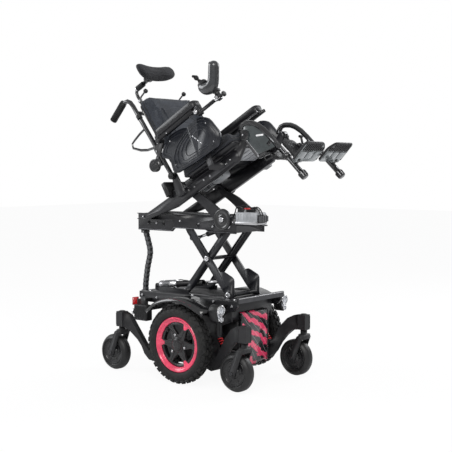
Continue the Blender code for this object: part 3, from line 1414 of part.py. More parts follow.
def legrest(suffix, side, seat):
    knee = pivot("Knee pivot " + suffix, (KNEE_S, side * LEG_Y, KNEE_N), seat, -LEG_ANGLE)
    bend = fillet(
        [(-0.010, 0.024), (0.022, 0.040), (0.060, 0.006), (0.077, -0.050), (0.077, -LEG_LENGTH)],
        0.030,
        2,
    )
    arch = tube([(a, 0, b) for a, b in bend], LEG_TUBE, 2)
    hub = pin((0, 0), -side * 0.0110, side * 0.0110, 0.021, 14)
    heel = (-0.014, -0.104)
    hanger = plate(belt((0, 0, 0.018), (*heel, 0.012)), side * 0.001, -side * 0.006)
    strap = plate(belt((*heel, 0.012), (0.074, -0.152, 0.009)), side * 0.001, -side * 0.006)
    foot_a, foot_b = FOOT_HINGE
    cap = rod((0.077, 0, -LEG_LENGTH + 0.006), (0.077, 0, -LEG_LENGTH - 0.019), 0.0155, 20, 0.014)
    collar = rod((0.077, 0, -0.196), (0.077, 0, -0.214), 0.0145, 12)
    lug = plate(belt((0.077, foot_b, 0.008), (foot_a, foot_b, 0.0075), steps=10), -0.006, 0.006)
    foot_pin = pin((foot_a, foot_b), -0.022, 0.022, 0.004, 10)
    calf_a, calf_b = CALF_HINGE
    stay = box((calf_a - 0.005, side * -0.007, calf_b - 0.008), (0.080, side * 0.005, calf_b + 0.008))
    calf_pin = pin((calf_a, calf_b), side * 0.002, -side * 0.058, 0.005, 10)
    solids = [hub, hanger, strap, cap, collar, lug, foot_pin, stay, calf_pin]
    solid = cut(join(arch, *solids), pin((0, 0), -0.02, 0.02, 0.007 + PIN_GAP))
    node("legrest_" + suffix, solid, black_metal, knee)

    calf = pivot("Calf pad hinge " + suffix, (calf_a, 0, calf_b), knee)
    inner, outer = -side * 0.100, -side * 0.010
    low, high = calf_b - 0.058, calf_b + 0.058
    face = fillet_loop([(inner, low), (outer, low), (outer, high), (inner, high)], 0.022, 4)
    pad = rounded(plate([(y, b) for y, b in face], 0.012, 0.038, "X"), 0.008, 1, 50)
    ears = []
    for y in (-side * 0.025, -side * 0.045):
        ear = belt(
            (calf_a, calf_b, 0.009),
            (0.034, calf_b + 0.010, 0.006),
            (0.034, calf_b - 0.010, 0.006),
            steps=10,
        )
        ears.append(plate(ear, y, y - side * 0.007))
    solid = cut(join(pad, *ears), pin((calf_a, calf_b), -side * 0.02, -side * 0.06, 0.005 + PIN_GAP, 10))
    node("calf_pad_" + suffix, solid, vinyl, calf, calf.location).location = (0, 0, 0)

    foot = pivot("Foot plate hinge " + suffix, (foot_a, 0, foot_b), knee)
    y_in, y_out = -side * 0.113, side * 0.033
    plan = fillet_loop(
        [
            (foot_a - 0.003, y_in),
            (0.160, y_in),
            (0.187, y_in + side * 0.030),
            (0.187, y_out),
            (foot_a - 0.003, y_out),
        ],
        0.016,
        3,
    )
    deck = rounded(plate(plan, foot_b - 0.004, foot_b + 0.004, "Z"), 0.0015, 1, 50)
    notch = box((foot_a - 0.02, -0.0085, foot_b - 0.02), (foot_a + 0.012, 0.0085, foot_b + 0.02))
    deck = cut(deck, notch)
    knuckles = [pin((foot_a, foot_b), y, y + 0.011, 0.0075, 12) for y in (-0.0205, 0.0095)]
    solid = cut(join(deck, *knuckles), pin((foot_a, foot_b), -0.03, 0.03, 0.004 + PIN_GAP, 10))
    node("footplate_" + suffix, solid, black_plastic, foot, foot.location).location = (0, 0, 0)


deck_frame()
battery_box()
front_shroud()
cable_chain()
for suffix, side in SIDES:
    fender(suffix, side)
    headlight(suffix, side)
    rear_light(suffix, side)
    drive_motor(suffix, side)
    wheel_rim(suffix, side, tyre(suffix, side))
    suspension_spring(suffix, side)
    for end in ("front", "rear"):
        caster_arm(end, suffix, side)
lift_arms_outer()
lift_arms_inner()
lift_actuator()
lift_strut()
seat_platform()
control_module()
tilt_links()

seat_place = seat_pivot_place()
seat = pivot("Seat hinge", (seat_place[0], 0, seat_place[1]), chair, -SEAT_TILT)
seat_frame(seat)
seat_cushion(seat)
tilt_drive(seat)
rear_case(seat)
back = pivot("Recline hinge", (RECLINE_PIVOT[0], 0, RECLINE_PIVOT[1]), seat, -BACK_LEAN)
back_frame(back)
back_cushion(back)
headrest(back)
for suffix, side in SIDES:
    side_guard(suffix, side, seat)
    armrest(suffix, side, seat)
    legrest(suffix, side, seat)
joystick(seat)
bpy.data.collections.remove(cutters)
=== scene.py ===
import json
from math import cos, exp, hypot, pi, radians, sin, sqrt

import bmesh
import bpy
from mathutils import Matrix, Vector
from mathutils.bvhtree import BVHTree


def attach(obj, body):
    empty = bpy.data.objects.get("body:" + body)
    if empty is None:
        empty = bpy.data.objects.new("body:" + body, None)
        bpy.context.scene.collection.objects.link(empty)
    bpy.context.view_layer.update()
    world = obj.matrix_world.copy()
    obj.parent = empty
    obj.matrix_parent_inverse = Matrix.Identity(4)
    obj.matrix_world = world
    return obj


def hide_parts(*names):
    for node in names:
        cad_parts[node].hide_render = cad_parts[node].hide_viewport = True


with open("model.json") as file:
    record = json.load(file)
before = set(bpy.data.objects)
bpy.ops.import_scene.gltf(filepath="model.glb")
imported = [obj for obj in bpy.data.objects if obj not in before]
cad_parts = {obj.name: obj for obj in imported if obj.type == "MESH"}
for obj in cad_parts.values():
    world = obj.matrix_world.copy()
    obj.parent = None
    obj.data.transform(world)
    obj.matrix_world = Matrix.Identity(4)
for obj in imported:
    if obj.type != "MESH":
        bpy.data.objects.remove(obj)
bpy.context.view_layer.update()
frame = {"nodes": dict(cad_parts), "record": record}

scene = bpy.context.scene
sides = (("right", -1), ("left", 1))


# Frames of the chair, all at rest
def frameOf(origin, ahead, up):
    ahead, up, origin = Vector(ahead), Vector(up), Vector(origin)
    across = up.cross(ahead)
    rows = [(ahead[i], across[i], up[i], origin[i]) for i in range(3)]
    return Matrix((*rows, (0, 0, 0, 1)))


axleX = -0.0438
chair = Matrix.Translation((axleX, 0, 0))        # x counted from the drive axle
seatFrame = frameOf((-0.128823, 0, 0.788933), (0.866025, 0, 0.5), (-0.5, 0, 0.866025))
backFrame = frameOf((-0.131502, 0, 0.833574), (0.79335, 0, 0.60876), (-0.60876, 0, 0.79335))


def legFrame(side):
    ahead, up = (0.681998, 0, 0.731354), (-0.731354, 0, 0.681998)
    return frameOf((0.208257, side * 0.125, 0.995093), ahead, up)


# Shader wiring
class Wire:
    def __init__(self, finish, socket):
        self.finish, self.socket = finish, socket

    def __add__(self, other):
        return self.finish.math("ADD", self, other)

    def __radd__(self, other):
        return self.finish.math("ADD", other, self)

    def __sub__(self, other):
        return self.finish.math("SUBTRACT", self, other)

    def __rsub__(self, other):
        return self.finish.math("SUBTRACT", other, self)

    def __mul__(self, other):
        return self.finish.math("MULTIPLY", self, other)

    def __rmul__(self, other):
        return self.finish.math("MULTIPLY", other, self)


class Finish:
    def __init__(self, name, colour, roughness, **constants):
        self.material = bpy.data.materials.new(name)
        self.material.use_nodes = True
        self.tree = self.material.node_tree
        self.skin = self.tree.nodes["Principled BSDF"]
        self.give(self.skin.inputs["Base Color"], colour)
        self.give(self.skin.inputs["Roughness"], roughness)
        for socket, value in constants.items():
            self.skin.inputs[socket.replace("_", " ")].default_value = value

    def give(self, socket, value):
        if isinstance(value, Wire):
            self.tree.links.new(value.socket, socket)
        elif isinstance(value, tuple) and len(value) == 3 and socket.type == "RGBA":
            socket.default_value = (*value, 1)
        else:
            socket.default_value = value

    def node(self, kind, settings=None, sockets=None, out=0):
        made = self.tree.nodes.new(kind)
        for key, value in (settings or {}).items():
            setattr(made, key, value)
        for key, value in (sockets or {}).items():
            self.give(made.inputs[key], value)
        return Wire(self, made.outputs[out])

    def math(self, operation, first, second=0.0):
        return self.node("ShaderNodeMath", {"operation": operation}, {0: first, 1: second})

    def vector(self, operation, first, second, out=0):
        return self.node("ShaderNodeVectorMath", {"operation": operation}, {0: first, 1: second}, out)

    def place(self, centre=(0, 0, 0), turn=(0, 0, 0), scale=(1, 1, 1)):
        spot = self.node("ShaderNodeTexCoord", out="Object")
        settings = {"vector_type": "POINT"}
        moved = self.vector("SUBTRACT", spot, centre)
        return self.node("ShaderNodeMapping", settings, {"Vector": moved, "Rotation": turn, "Scale": scale})

    def noise(self, scale, detail=3.0, place=None, stretch=(1, 1, 1)):
        place = place or self.place(scale=stretch)
        return self.node("ShaderNodeTexNoise", None, {"Vector": place, "Scale": scale, "Detail": detail})

    def cells(self, feature, place, scale, **more):
        settings = {"feature": feature}
        return self.node("ShaderNodeTexVoronoi", settings, {"Vector": place, "Scale": scale, **more})

    def step(self, value, low, high, first=0.0, last=1.0):
        settings = {"interpolation_type": "SMOOTHSTEP"}
        sockets = {0: value, 1: low, 2: high, 3: first, 4: last}
        return self.node("ShaderNodeMapRange", settings, sockets)

    def mix(self, factor, first, second):
        sockets = {0: factor, 6: first, 7: second}
        return self.node("ShaderNodeMix", {"data_type": "RGBA"}, sockets, out=2)

    def split(self, place):
        return [self.node("ShaderNodeSeparateXYZ", None, {0: place}, out=i) for i in range(3)]

    def softEdge(self, radius):
        return self.node("ShaderNodeBevel", {"samples": 4}, {"Radius": radius})

    def wear(self, edge):
        plain = self.node("ShaderNodeNewGeometry", out="Normal")
        return self.step(1 - self.vector("DOT_PRODUCT", edge, plain, out="Value"), 0.015, 0.25)

    def relief(self, height, depth, edge=None):
        sockets = {"Height": height, "Distance": depth}
        if edge:
            sockets["Normal"] = edge
        self.give(self.skin.inputs["Normal"], self.node("ShaderNodeBump", None, sockets))

    def colour(self, value):
        self.give(self.skin.inputs["Base Color"], value)

    def rough(self, value):
        self.give(self.skin.inputs["Roughness"], value)


def shaded(colour, factor):
    return tuple(min(1.0, c * factor) for c in colour)


def paint(name, colour, roughness, grain=900, depth=0.00005, edgeRadius=0.0011, wornTo=None, **more):
    made = Finish(name, colour, roughness, **more)
    edge = made.softEdge(edgeRadius)
    wear = made.wear(edge)
    cloud = made.noise(38, 4)
    fine = made.noise(grain, 2)
    light = wornTo or tuple(min(1.0, c * 2.2 + 0.02) for c in colour)
    tone = made.mix(made.step(cloud, 0.3, 0.7), shaded(colour, 0.82), shaded(colour, 1.15))
    made.colour(made.mix(wear * 0.35 * made.step(fine, 0.3, 0.6), tone, light))
    made.rough(roughness + (cloud - 0.5) * 0.16 + (fine - 0.5) * 0.08)
    made.relief(fine, depth, edge)
    return made.material


def coat(weight, roughness=0.03):
    return {"Coat_Weight": weight, "Coat_Roughness": roughness}


def shine(level):
    return {"Specular_IOR_Level": level}


paints = {      # name, colour, roughness, the rest
    "framePaint": ("Satin black paint", (0.0105, 0.0105, 0.0125), 0.34, shine(0.42)),
    "scissorPaint": ("Blue black paint", (0.0085, 0.009, 0.012), 0.36, shine(0.4)),
    "tubePaint": ("Gloss black tube", (0.009, 0.009, 0.010), 0.2,
                  {"depth": 0.00002, **shine(0.5), **coat(0.4, 0.08)}),
    "castArm": ("Cast grey black", (0.017, 0.017, 0.0185), 0.5,
                {"grain": 420, "depth": 0.00018, "edgeRadius": 0.002, **shine(0.3)}),
    "casterRubber": ("Caster rubber", (0.0125, 0.0125, 0.013), 0.42, {"grain": 260, "depth": 0.00006, **shine(0.35)}),
    "hubPlastic": ("Hub plastic", (0.011, 0.011, 0.012), 0.26, shine(0.45)),
    "blackGloss": ("Gloss black plastic", (0.008, 0.008, 0.009), 0.14,
                   {"depth": 0.00001, **shine(0.5), **coat(0.5, 0.05)}),
    "blackPlastic": ("Black plastic", (0.0125, 0.0125, 0.0135), 0.42,
                     {"grain": 1300, "depth": 0.00006, **shine(0.35)}),
    "guardPlastic": ("Blue black plastic", (0.010, 0.0115, 0.016), 0.33,
                     {"grain": 1300, "depth": 0.00004, **shine(0.4)}),
    "greyPlastic": ("Grey plastic", (0.30, 0.31, 0.325), 0.4, {"wornTo": (0.5, 0.5, 0.5)}),
    "darkGrey": ("Dark grey plastic", (0.06, 0.062, 0.066), 0.38, {}),
    "whitePlastic": ("White plastic", (0.72, 0.72, 0.73), 0.35, {"wornTo": (0.8, 0.8, 0.8)}),
    "rimPink": ("Rose rim paint", (0.74, 0.045, 0.115), 0.27,
                {"depth": 0.00003, "wornTo": (0.85, 0.25, 0.32), **coat(0.5, 0.08)}),
    "springRed": ("Red spring paint", (0.55, 0.012, 0.02), 0.3, {"Coat_Weight": 0.4}),
    "plugRed": ("Red plug", (0.5, 0.02, 0.02), 0.38, {}),
    "gripRubber": ("Grip rubber", (0.012, 0.012, 0.0125), 0.6, {"grain": 500, "depth": 0.0001, **shine(0.25)}),
    "lampRed": ("Red lens", (0.45, 0.008, 0.012), 0.12, coat(1.0, 0.03)),
    "thread": ("Grey thread", (0.11, 0.115, 0.125), 0.7, {}),
    "cable": ("Cable sheath", (0.010, 0.010, 0.011), 0.48, {"grain": 600}),
    # painted highlight: the deep rose of the thin bead along the fender's edge
    "fenderHighlightRose": ("Deep rose gloss", (0.20, 0.012, 0.045), 0.16, coat(0.8, 0.05)),
    "podGrey": ("Pod grey gloss", (0.020, 0.021, 0.023), 0.22, {"depth": 0.00002, **shine(0.5), **coat(0.5, 0.08)}),
    "panelGrey": ("Grey green gloss", (0.028, 0.036, 0.037), 0.16,
                  {"depth": 0.00002, **shine(0.6), **coat(0.6, 0.05)}),
    "footGrey": ("Silver grey gloss", (0.20, 0.215, 0.22), 0.24,
                 {"depth": 0.00003, "wornTo": (0.4, 0.42, 0.42), "Metallic": 0.35, **coat(0.4, 0.08)}),
}
meshes = {      # name, yarn, hole, pitch
    "cushionFabric": ("Blue grey spacer mesh", (0.030, 0.034, 0.043), (0.006, 0.007, 0.009), 0.0042),
    "seatFabric": ("Dark seat fabric", (0.022, 0.024, 0.029), (0.006, 0.006, 0.008), 0.0030),
    "headFabric": ("Black head fabric", (0.015, 0.0155, 0.018), (0.005, 0.005, 0.006), 0.0026),
}
metals = {      # name, colour, roughness
    "steel": ("Bright steel", (0.62, 0.62, 0.635), 0.24),
    "motorSilver": ("Motor silver", (0.56, 0.56, 0.57), 0.36),
    "chrome": ("Chrome", (0.78, 0.78, 0.79), 0.1),
    "darkMetal": ("Dark metal", (0.09, 0.09, 0.095), 0.34),
}


def buildFinishes():
    made = {key: paint(*facts[:3], **facts[3]) for key, facts in paints.items()}
    made["vinyl"] = leather()
    for key, facts in meshes.items():
        made[key] = spacerMesh(*facts)
    for key, facts in metals.items():
        made[key] = brushedMetal(*facts)
    made["tyreRubber"] = tyreFinish()
    made["lens"] = lensFinish()
    made["shroud"] = shroudPrint()
    return made


def leather():
    made = Finish("Black vinyl", (0.012, 0.012, 0.013), 0.42, Specular_IOR_Level=0.4)
    cells = made.cells("DISTANCE_TO_EDGE", made.place(), 520.0)
    fold = made.noise(60, 4)
    crease = made.step(cells, 0.02, 0.25)
    # The grain's creases are painted darker than the flat grain: painted shade in the creases
    made.colour(made.mix(crease, (0.006, 0.006, 0.007), (0.0135, 0.0135, 0.015)))
    made.rough(0.36 + (fold - 0.5) * 0.25 + (1 - crease) * 0.15)
    made.relief(crease * 0.7 + fold * 0.6, 0.00025, made.softEdge(0.001))
    return made.material


def spacerMesh(name, yarn, hole, pitch):
    # Knitted spacer fabric: even round holes in a fibrous yarn
    made = Finish(name, yarn, 0.85, Specular_IOR_Level=0.2, Sheen_Weight=0.12, Sheen_Roughness=0.5)
    cells = made.cells("F1", made.place(turn=(0.0, 0.62, 0.0)), 1 / pitch, Randomness=0.12)
    holes = made.step(cells, 0.26, 0.40, 1.0, 0.0)
    fibre = made.noise(1 / pitch * 6, 2)
    cloud = made.noise(14, 4)
    tone = made.mix(made.step(cloud, 0.35, 0.65), shaded(yarn, 0.8), shaded(yarn, 1.2))
    tone = made.mix(made.step(fibre, 0.35, 0.7) * 0.35, tone, shaded(yarn, 1.9))
    made.colour(made.mix(holes * 0.85, tone, hole))
    made.rough(0.78 + (fibre - 0.5) * 0.2)
    made.relief((1 - holes) * 0.8 + fibre * 0.25, 0.0005)
    return made.material


def tyreFinish():
    made = Finish("Tyre rubber", (0.012, 0.012, 0.012), 0.66, Specular_IOR_Level=0.28)
    fine = made.noise(700, 3)
    dust = made.noise(24, 5)
    edge = made.softEdge(0.0008)
    wear = made.wear(edge)
    tone = made.mix(made.step(dust, 0.42, 0.72), (0.0095, 0.0095, 0.0098), (0.019, 0.0188, 0.018))
    made.colour(made.mix(wear * 0.35, tone, (0.045, 0.044, 0.042)))
    made.rough(0.6 + (dust - 0.5) * 0.25)
    made.relief(fine, 0.00012, edge)
    return made.material


def brushedMetal(name, colour, roughness):
    made = Finish(name, colour, roughness, Metallic=1.0)
    streak = made.noise(60, 3, stretch=(1, 14, 14))
    spot = made.noise(30, 4)
    edge = made.softEdge(0.0006)
    tone = made.mix(made.step(spot, 0.35, 0.7), shaded(colour, 0.8), colour)
    made.colour(made.mix(made.wear(edge) * 0.5, tone, shaded(colour, 1.25)))
    made.rough(roughness + (streak - 0.5) * 0.16)
    made.relief(streak, 0.00003, edge)
    return made.material


def lensFinish():
    made = Finish("Lamp lens", (0.55, 0.57, 0.6), 0.06, Metallic=0.55, **coat(1.0, 0.02))
    cells = made.cells("SMOOTH_F1", made.place(), 260.0)
    made.colour(made.mix(made.step(cells, 0.2, 0.6), (0.75, 0.77, 0.8), (0.25, 0.26, 0.29)))
    made.rough(0.08 + made.noise(80, 2) * 0.08)
    made.relief(cells, 0.0004)
    return made.material


def shroudPrint():
    # A generic print: slanting brushed ribbons in rose over black, with pale hairlines
    made = Finish("Shroud print", (0.7, 0.045, 0.12), 0.2, **coat(0.8, 0.05))
    place = made.place(centre=(0.17, 0, 0.17), turn=(0.55, 0, 0))
    _, y, z = made.split(place)
    drift = made.noise(9, 3)
    ribbon = made.math("SINE", (z + drift * 0.11) * 130)
    frayed = ribbon + (made.noise(120, 4, stretch=(1, 0.25, 1.6)) - 0.5) * 3.2
    rose = made.step(frayed, 0.02, 0.22)
    wave = made.math("SINE", (z * 1.2 + y * 0.35 + drift * 0.06) * 120)
    hair = made.step(made.math("ABSOLUTE", wave), 0.985, 0.998)
    specks = made.cells("F1", place, 85.0)
    dots = made.step(specks, 0.16, 0.2, 1.0, 0.0) * made.step(made.noise(26, 2), 0.5, 0.58)
    tone = made.mix(rose, (0.009, 0.008, 0.010), (0.70, 0.045, 0.125))
    tone = made.mix(dots, tone, (0.012, 0.010, 0.012))
    made.colour(made.mix(hair * 0.25, tone, (0.8, 0.74, 0.76)))
    made.rough(0.2 + made.noise(40, 3) * 0.1)
    made.relief(made.noise(500, 2), 0.00002, made.softEdge(0.0015))
    return made.material


finish = buildFinishes()
print("finishes ready", len(finish))


# Mesh helpers
def arc(centre, radius, start, end, steps):
    turns = [start + (end - start) * i / steps for i in range(steps + 1)]
    return [(centre[0] + radius * cos(a), centre[1] + radius * sin(a)) for a in turns]


def hull(points):
    ordered = sorted(set(points))
    loop = []
    for run in (ordered, ordered[::-1]):
        start = len(loop)
        for point in run:
            while len(loop) >= start + 2:
                (ax, az), (bx, bz) = loop[-2], loop[-1]
                if (bx - ax) * (point[1] - az) - (bz - az) * (point[0] - ax) > 1e-9:
                    break
                loop.pop()
            loop.append(point)
        loop.pop()
    return loop


def belt(*circles, steps=28):
    points = []
    for x, z, radius in circles:
        points += arc((x, z), radius, 0, 2 * pi, steps)[:-1]
    return hull([(round(x, 6), round(z, 6)) for x, z in points])


def curveThrough(points, steps=8):
    ends = [points[0], *points, points[-1]]
    path = []
    for before, start, end, after in zip(ends, ends[1:], ends[2:], ends[3:]):
        for i in range(steps):
            t = i / steps
            place = []
            for a, b, c, d in zip(before, start, end, after):
                bend = 2 * b + (c - a) * t + (2 * a - 5 * b + 4 * c - d) * t * t
                place.append((bend + (3 * b - a - 3 * c + d) * t**3) / 2)
            path.append(tuple(place))
    return [*path, tuple(points[-1])]


def roundCorners(points, radius, steps=5):
    path = [tuple(points[0])]
    for before, corner, after in zip(points, points[1:], points[2:]):
        corner = Vector(corner)
        back, ahead = Vector(before) - corner, Vector(after) - corner
        reach = min(radius, back.length / 2.1, ahead.length / 2.1)
        start = corner + back.normalized() * reach
        end = corner + ahead.normalized() * reach
        for i in range(steps + 1):
            t = i / steps
            path.append(tuple(start * (1 - t) ** 2 + corner * 2 * t * (1 - t) + end * t * t))
    return [*path, tuple(points[-1])]


def roundLoop(corners, radius, steps=5):
    start = tuple((a + b) / 2 for a, b in zip(corners[-1], corners[0]))
    return roundCorners([start, *corners, start], radius, steps)[:-1]


def turned(outline, turn, centre=(0, 0)):
    c, s = cos(turn), sin(turn)
    return [(a * c - b * s + centre[0], a * s + b * c + centre[1]) for a, b in outline]


def soften(bm, edges, radius, segments):
    bmesh.ops.bevel(bm, geom=edges, offset=radius, segments=segments, profile=0.5, affect="EDGES")


class Shape:
    def __init__(self):
        self.bm = bmesh.new()

    def take(self, other):
        mesh = bpy.data.meshes.new("Take")
        bmesh.ops.recalc_face_normals(other, faces=other.faces[:])
        other.to_mesh(mesh)
        other.free()
        self.bm.from_mesh(mesh)
        bpy.data.meshes.remove(mesh)
        return self

    def box(self, low, high, rounding=0.0, segments=2, turn=None):
        low, high = Vector(map(min, low, high)), Vector(map(max, low, high))
        bm = bmesh.new()
        place = Matrix.Translation((low + high) / 2) @ (turn or Matrix.Identity(4))
        bmesh.ops.create_cube(bm, size=1, matrix=place @ Matrix.Diagonal((*(high - low), 1)))
        if rounding:
            soften(bm, bm.edges[:], rounding, segments)
        return self.take(bm)

    def lathe(self, profile, centre=(0, 0, 0), axis=(0, 0, 1), count=32):
        axis = Vector(axis).normalized()
        first = axis.orthogonal().normalized()
        second = axis.cross(first)
        bm = bmesh.new()
        rings = []
        for radius, height in profile:
            spot = Vector(centre) + axis * height
            if radius < 1e-6:
                rings.append([bm.verts.new(spot)] * count)
            else:
                turns = [2 * pi * i / count for i in range(count)]
                rings.append([bm.verts.new(spot + (first * cos(t) + second * sin(t)) * radius) for t in turns])
        pairs = list(zip(rings, rings[1:]))
        if profile[0][0] > 1e-6 and profile[-1][0] > 1e-6:
            pairs.append((rings[-1], rings[0]))
        for low, high in pairs:
            for i in range(count):
                j = (i + 1) % count
                corners = []
                for corner in (low[i], low[j], high[j], high[i]):
                    if corner not in corners:
                        corners.append(corner)
                if len(corners) > 2:
                    bm.faces.new(corners)
        return self.take(bm)

    def rod(self, start, end, radius, count=20, endRadius=None, rounding=0.0):
        start, end = Vector(start), Vector(end)
        length = (end - start).length
        last = radius if endRadius is None else endRadius
        profile = [(0, 0), (radius, 0), (last, length), (0, length)]
        if rounding:
            cut = rounding * 0.3
            profile = [(0, 0), (radius - rounding, 0), (radius - cut, cut), (radius, rounding)]
            profile += [(last, length - rounding), (last - cut, length - cut), (last - rounding, length), (0, length)]
        return self.lathe(profile, start, end - start, count)

    def tube(self, points, radius, count=12, closed=False):
        points = [Vector(p) for p in points]
        radii = radius if isinstance(radius, list) else [radius] * len(points)
        total = len(points)
        tangents = []
        for i in range(total):
            before = points[(i - 1) % total] if closed or i else points[0]
            after = points[(i + 1) % total] if closed or i < total - 1 else points[-1]
            tangents.append((after - before).normalized())
        normal = tangents[0].orthogonal().normalized()
        bm = bmesh.new()
        rings = []
        for i, (spot, size) in enumerate(zip(points, radii)):
            normal = (normal - tangents[i] * normal.dot(tangents[i])).normalized()
            across = tangents[i].cross(normal)
            turns = [2 * pi * k / count for k in range(count)]
            rings.append([bm.verts.new(spot + (normal * cos(t) + across * sin(t)) * size) for t in turns])
        pairs = list(zip(rings, rings[1:]))
        if closed:
            offset = min(range(count), key=lambda k: (rings[-1][0].co - rings[0][k].co).length)
            pairs.append((rings[-1], rings[0][offset:] + rings[0][:offset]))
        for low, high in pairs:
            for k in range(count):
                bm.faces.new((low[k], low[(k + 1) % count], high[(k + 1) % count], high[k]))
        if not closed:
            bm.faces.new(rings[0][::-1])
            bm.faces.new(rings[-1])
        return self.take(bm)

    def plate(self, outline, low, high, axis="Y", rounding=0.0, segments=2):
        spots = {"Y": lambda a, b, c: (a, c, b), "X": lambda a, b, c: (c, a, b), "Z": lambda a, b, c: (a, b, c)}
        bm = bmesh.new()
        below = [bm.verts.new(spots[axis](a, b, low)) for a, b in outline]
        above = [bm.verts.new(spots[axis](a, b, high)) for a, b in outline]
        caps = [bm.faces.new(below), bm.faces.new(above[::-1])]
        for i in range(len(outline)):
            j = (i + 1) % len(outline)
            bm.faces.new((below[i], below[j], above[j], above[i]))
        bmesh.ops.recalc_face_normals(bm, faces=bm.faces[:])
        if rounding:
            rims = {edge for cap in caps for edge in cap.edges}
            soften(bm, list(rims), rounding, segments)
        return self.take(bm)

    def ball(self, centre, radius, rings=10, squash=(1, 1, 1)):
        bm = bmesh.new()
        place = Matrix.Translation(centre) @ Matrix.Diagonal((*squash, 1))
        bmesh.ops.create_uvsphere(bm, u_segments=2 * rings, v_segments=rings, radius=radius, matrix=place)
        return self.take(bm)

    def mesh(self, place=None):
        mesh = bpy.data.meshes.new("Shape")
        self.bm.to_mesh(mesh)
        self.bm.free()
        if place:
            mesh.transform(place)
        return mesh


def addPiece(name, mesh, body, material, replaces=(), angle=35, place=None):
    # mesh may still be a Shape, drawn in the place's frame
    if isinstance(mesh, Shape):
        mesh = mesh.mesh(place)
    made = bpy.data.objects.new(name, mesh)
    mesh.name = name
    scene.collection.objects.link(made)
    if material:
        mesh.materials.clear()
        mesh.materials.append(finish[material])
    mesh.shade_smooth()
    mesh.set_sharp_from_angle(angle=radians(angle))
    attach(made, body)
    if replaces:
        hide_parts(*replaces)
    return made


def copyOf(node):
    # A copy of a CAD node's mesh with its doubles merged and its flat faces made whole
    bm = bmesh.new()
    bm.from_mesh(frame["nodes"][node].data)
    bmesh.ops.remove_doubles(bm, verts=bm.verts[:], dist=0.00002)
    mesh = bpy.data.meshes.new(node)
    bm.to_mesh(mesh)
    bm.free()
    return mesh


bodyOf = {node: body for body, nodes in frame["record"]["behaviour"]["bodies"].items() for node in nodes}


def dress(node, material, zones=(), place=chair):
    # The node's own shape in its finish; a zone is (finish, test on a face centre in the place's frame)
    mesh = copyOf(node)
    made = addPiece(node + "_dressed", mesh, bodyOf[node], material, (node,), 38)
    back = place.inverted()
    for i, (name, test) in enumerate(zones):
        mesh.materials.append(finish[name])
        for face in mesh.polygons:
            if test(back @ face.center, face.normal):
                face.material_index = i + 1
    return made


# Geometry Nodes: parts set on points, parts along a path, coils
def newTree(name, inputs):
    tree = bpy.data.node_groups.new(name, "GeometryNodeTree")
    tree.interface.new_socket(name="Geometry", in_out="INPUT", socket_type="NodeSocketGeometry")
    for label, kind, value in inputs:
        socket = tree.interface.new_socket(name=label, in_out="INPUT", socket_type="NodeSocket" + kind)
        if value is not None:
            socket.default_value = value
    tree.interface.new_socket(name="Geometry", in_out="OUTPUT", socket_type="NodeSocketGeometry")
    start = tree.nodes.new("NodeGroupInput")
    end = tree.nodes.new("NodeGroupOutput")

    def put(kind, settings=None, sockets=None):
        made = tree.nodes.new(kind)
        for key, value in (settings or {}).items():
            setattr(made, key, value)
        for key, value in (sockets or {}).items():
            if isinstance(value, bpy.types.NodeSocket):
                tree.links.new(value, made.inputs[key])
            else:
                made.inputs[key].default_value = value
        return made

    return tree, start, end, put


def finishTree(tree, start, end, put, instances):
    real = put("GeometryNodeRealizeInstances", None, {0: instances})
    coat = put("GeometryNodeSetMaterial", None, {"Geometry": real.outputs[0], "Material": start.outputs["Finish"]})
    tree.links.new(coat.outputs[0], end.inputs[0])
    return tree


def pointsTree():
    inputs = [("Part", "Object", None), ("Finish", "Material", None), ("Size", "Float", 1.0),
              ("Size wobble", "Float", 0.0), ("Seed", "Int", 7)]
    tree, start, end, put = newTree("Parts on points", inputs)
    part = put("GeometryNodeObjectInfo", None, {"Object": start.outputs["Part"]})
    up = put("GeometryNodeInputNamedAttribute", {"data_type": "FLOAT_VECTOR"}, {"Name": "facing"})
    along = put("GeometryNodeInputNamedAttribute", {"data_type": "FLOAT_VECTOR"}, {"Name": "along"})
    turn = put("FunctionNodeAxesToRotation", {"primary_axis": "Z", "secondary_axis": "X"},
               {0: up.outputs["Attribute"], 1: along.outputs["Attribute"]})
    wobble = put("FunctionNodeRandomValue", {"data_type": "FLOAT"}, {"Seed": start.outputs["Seed"]})
    wobble.inputs[2].default_value, wobble.inputs[3].default_value = -1.0, 1.0
    size = put("ShaderNodeMath", {"operation": "MULTIPLY_ADD"},
               {0: wobble.outputs[1], 1: start.outputs["Size wobble"], 2: start.outputs["Size"]})
    placed = put("GeometryNodeInstanceOnPoints", None, {
        "Points": start.outputs["Geometry"], "Instance": part.outputs["Geometry"],
        "Rotation": turn.outputs[0], "Scale": size.outputs[0]})
    return finishTree(tree, start, end, put, placed.outputs[0])


def pathTree():
    inputs = [("Part", "Object", None), ("Finish", "Material", None), ("Count", "Int", 20),
              ("Size", "Float", 1.0)]
    tree, start, end, put = newTree("Parts along a path", inputs)
    part = put("GeometryNodeObjectInfo", None, {"Object": start.outputs["Part"]})
    points = put("GeometryNodeCurveToPoints", {"mode": "COUNT"},
                 {"Curve": start.outputs["Geometry"], "Count": start.outputs["Count"]})
    turn = put("FunctionNodeAxesToRotation", {"primary_axis": "X", "secondary_axis": "Y"},
               {0: points.outputs["Tangent"], 1: points.outputs["Normal"]})
    placed = put("GeometryNodeInstanceOnPoints", None, {
        "Points": points.outputs["Points"], "Instance": part.outputs["Geometry"],
        "Rotation": turn.outputs[0], "Scale": start.outputs["Size"]})
    return finishTree(tree, start, end, put, placed.outputs[0])


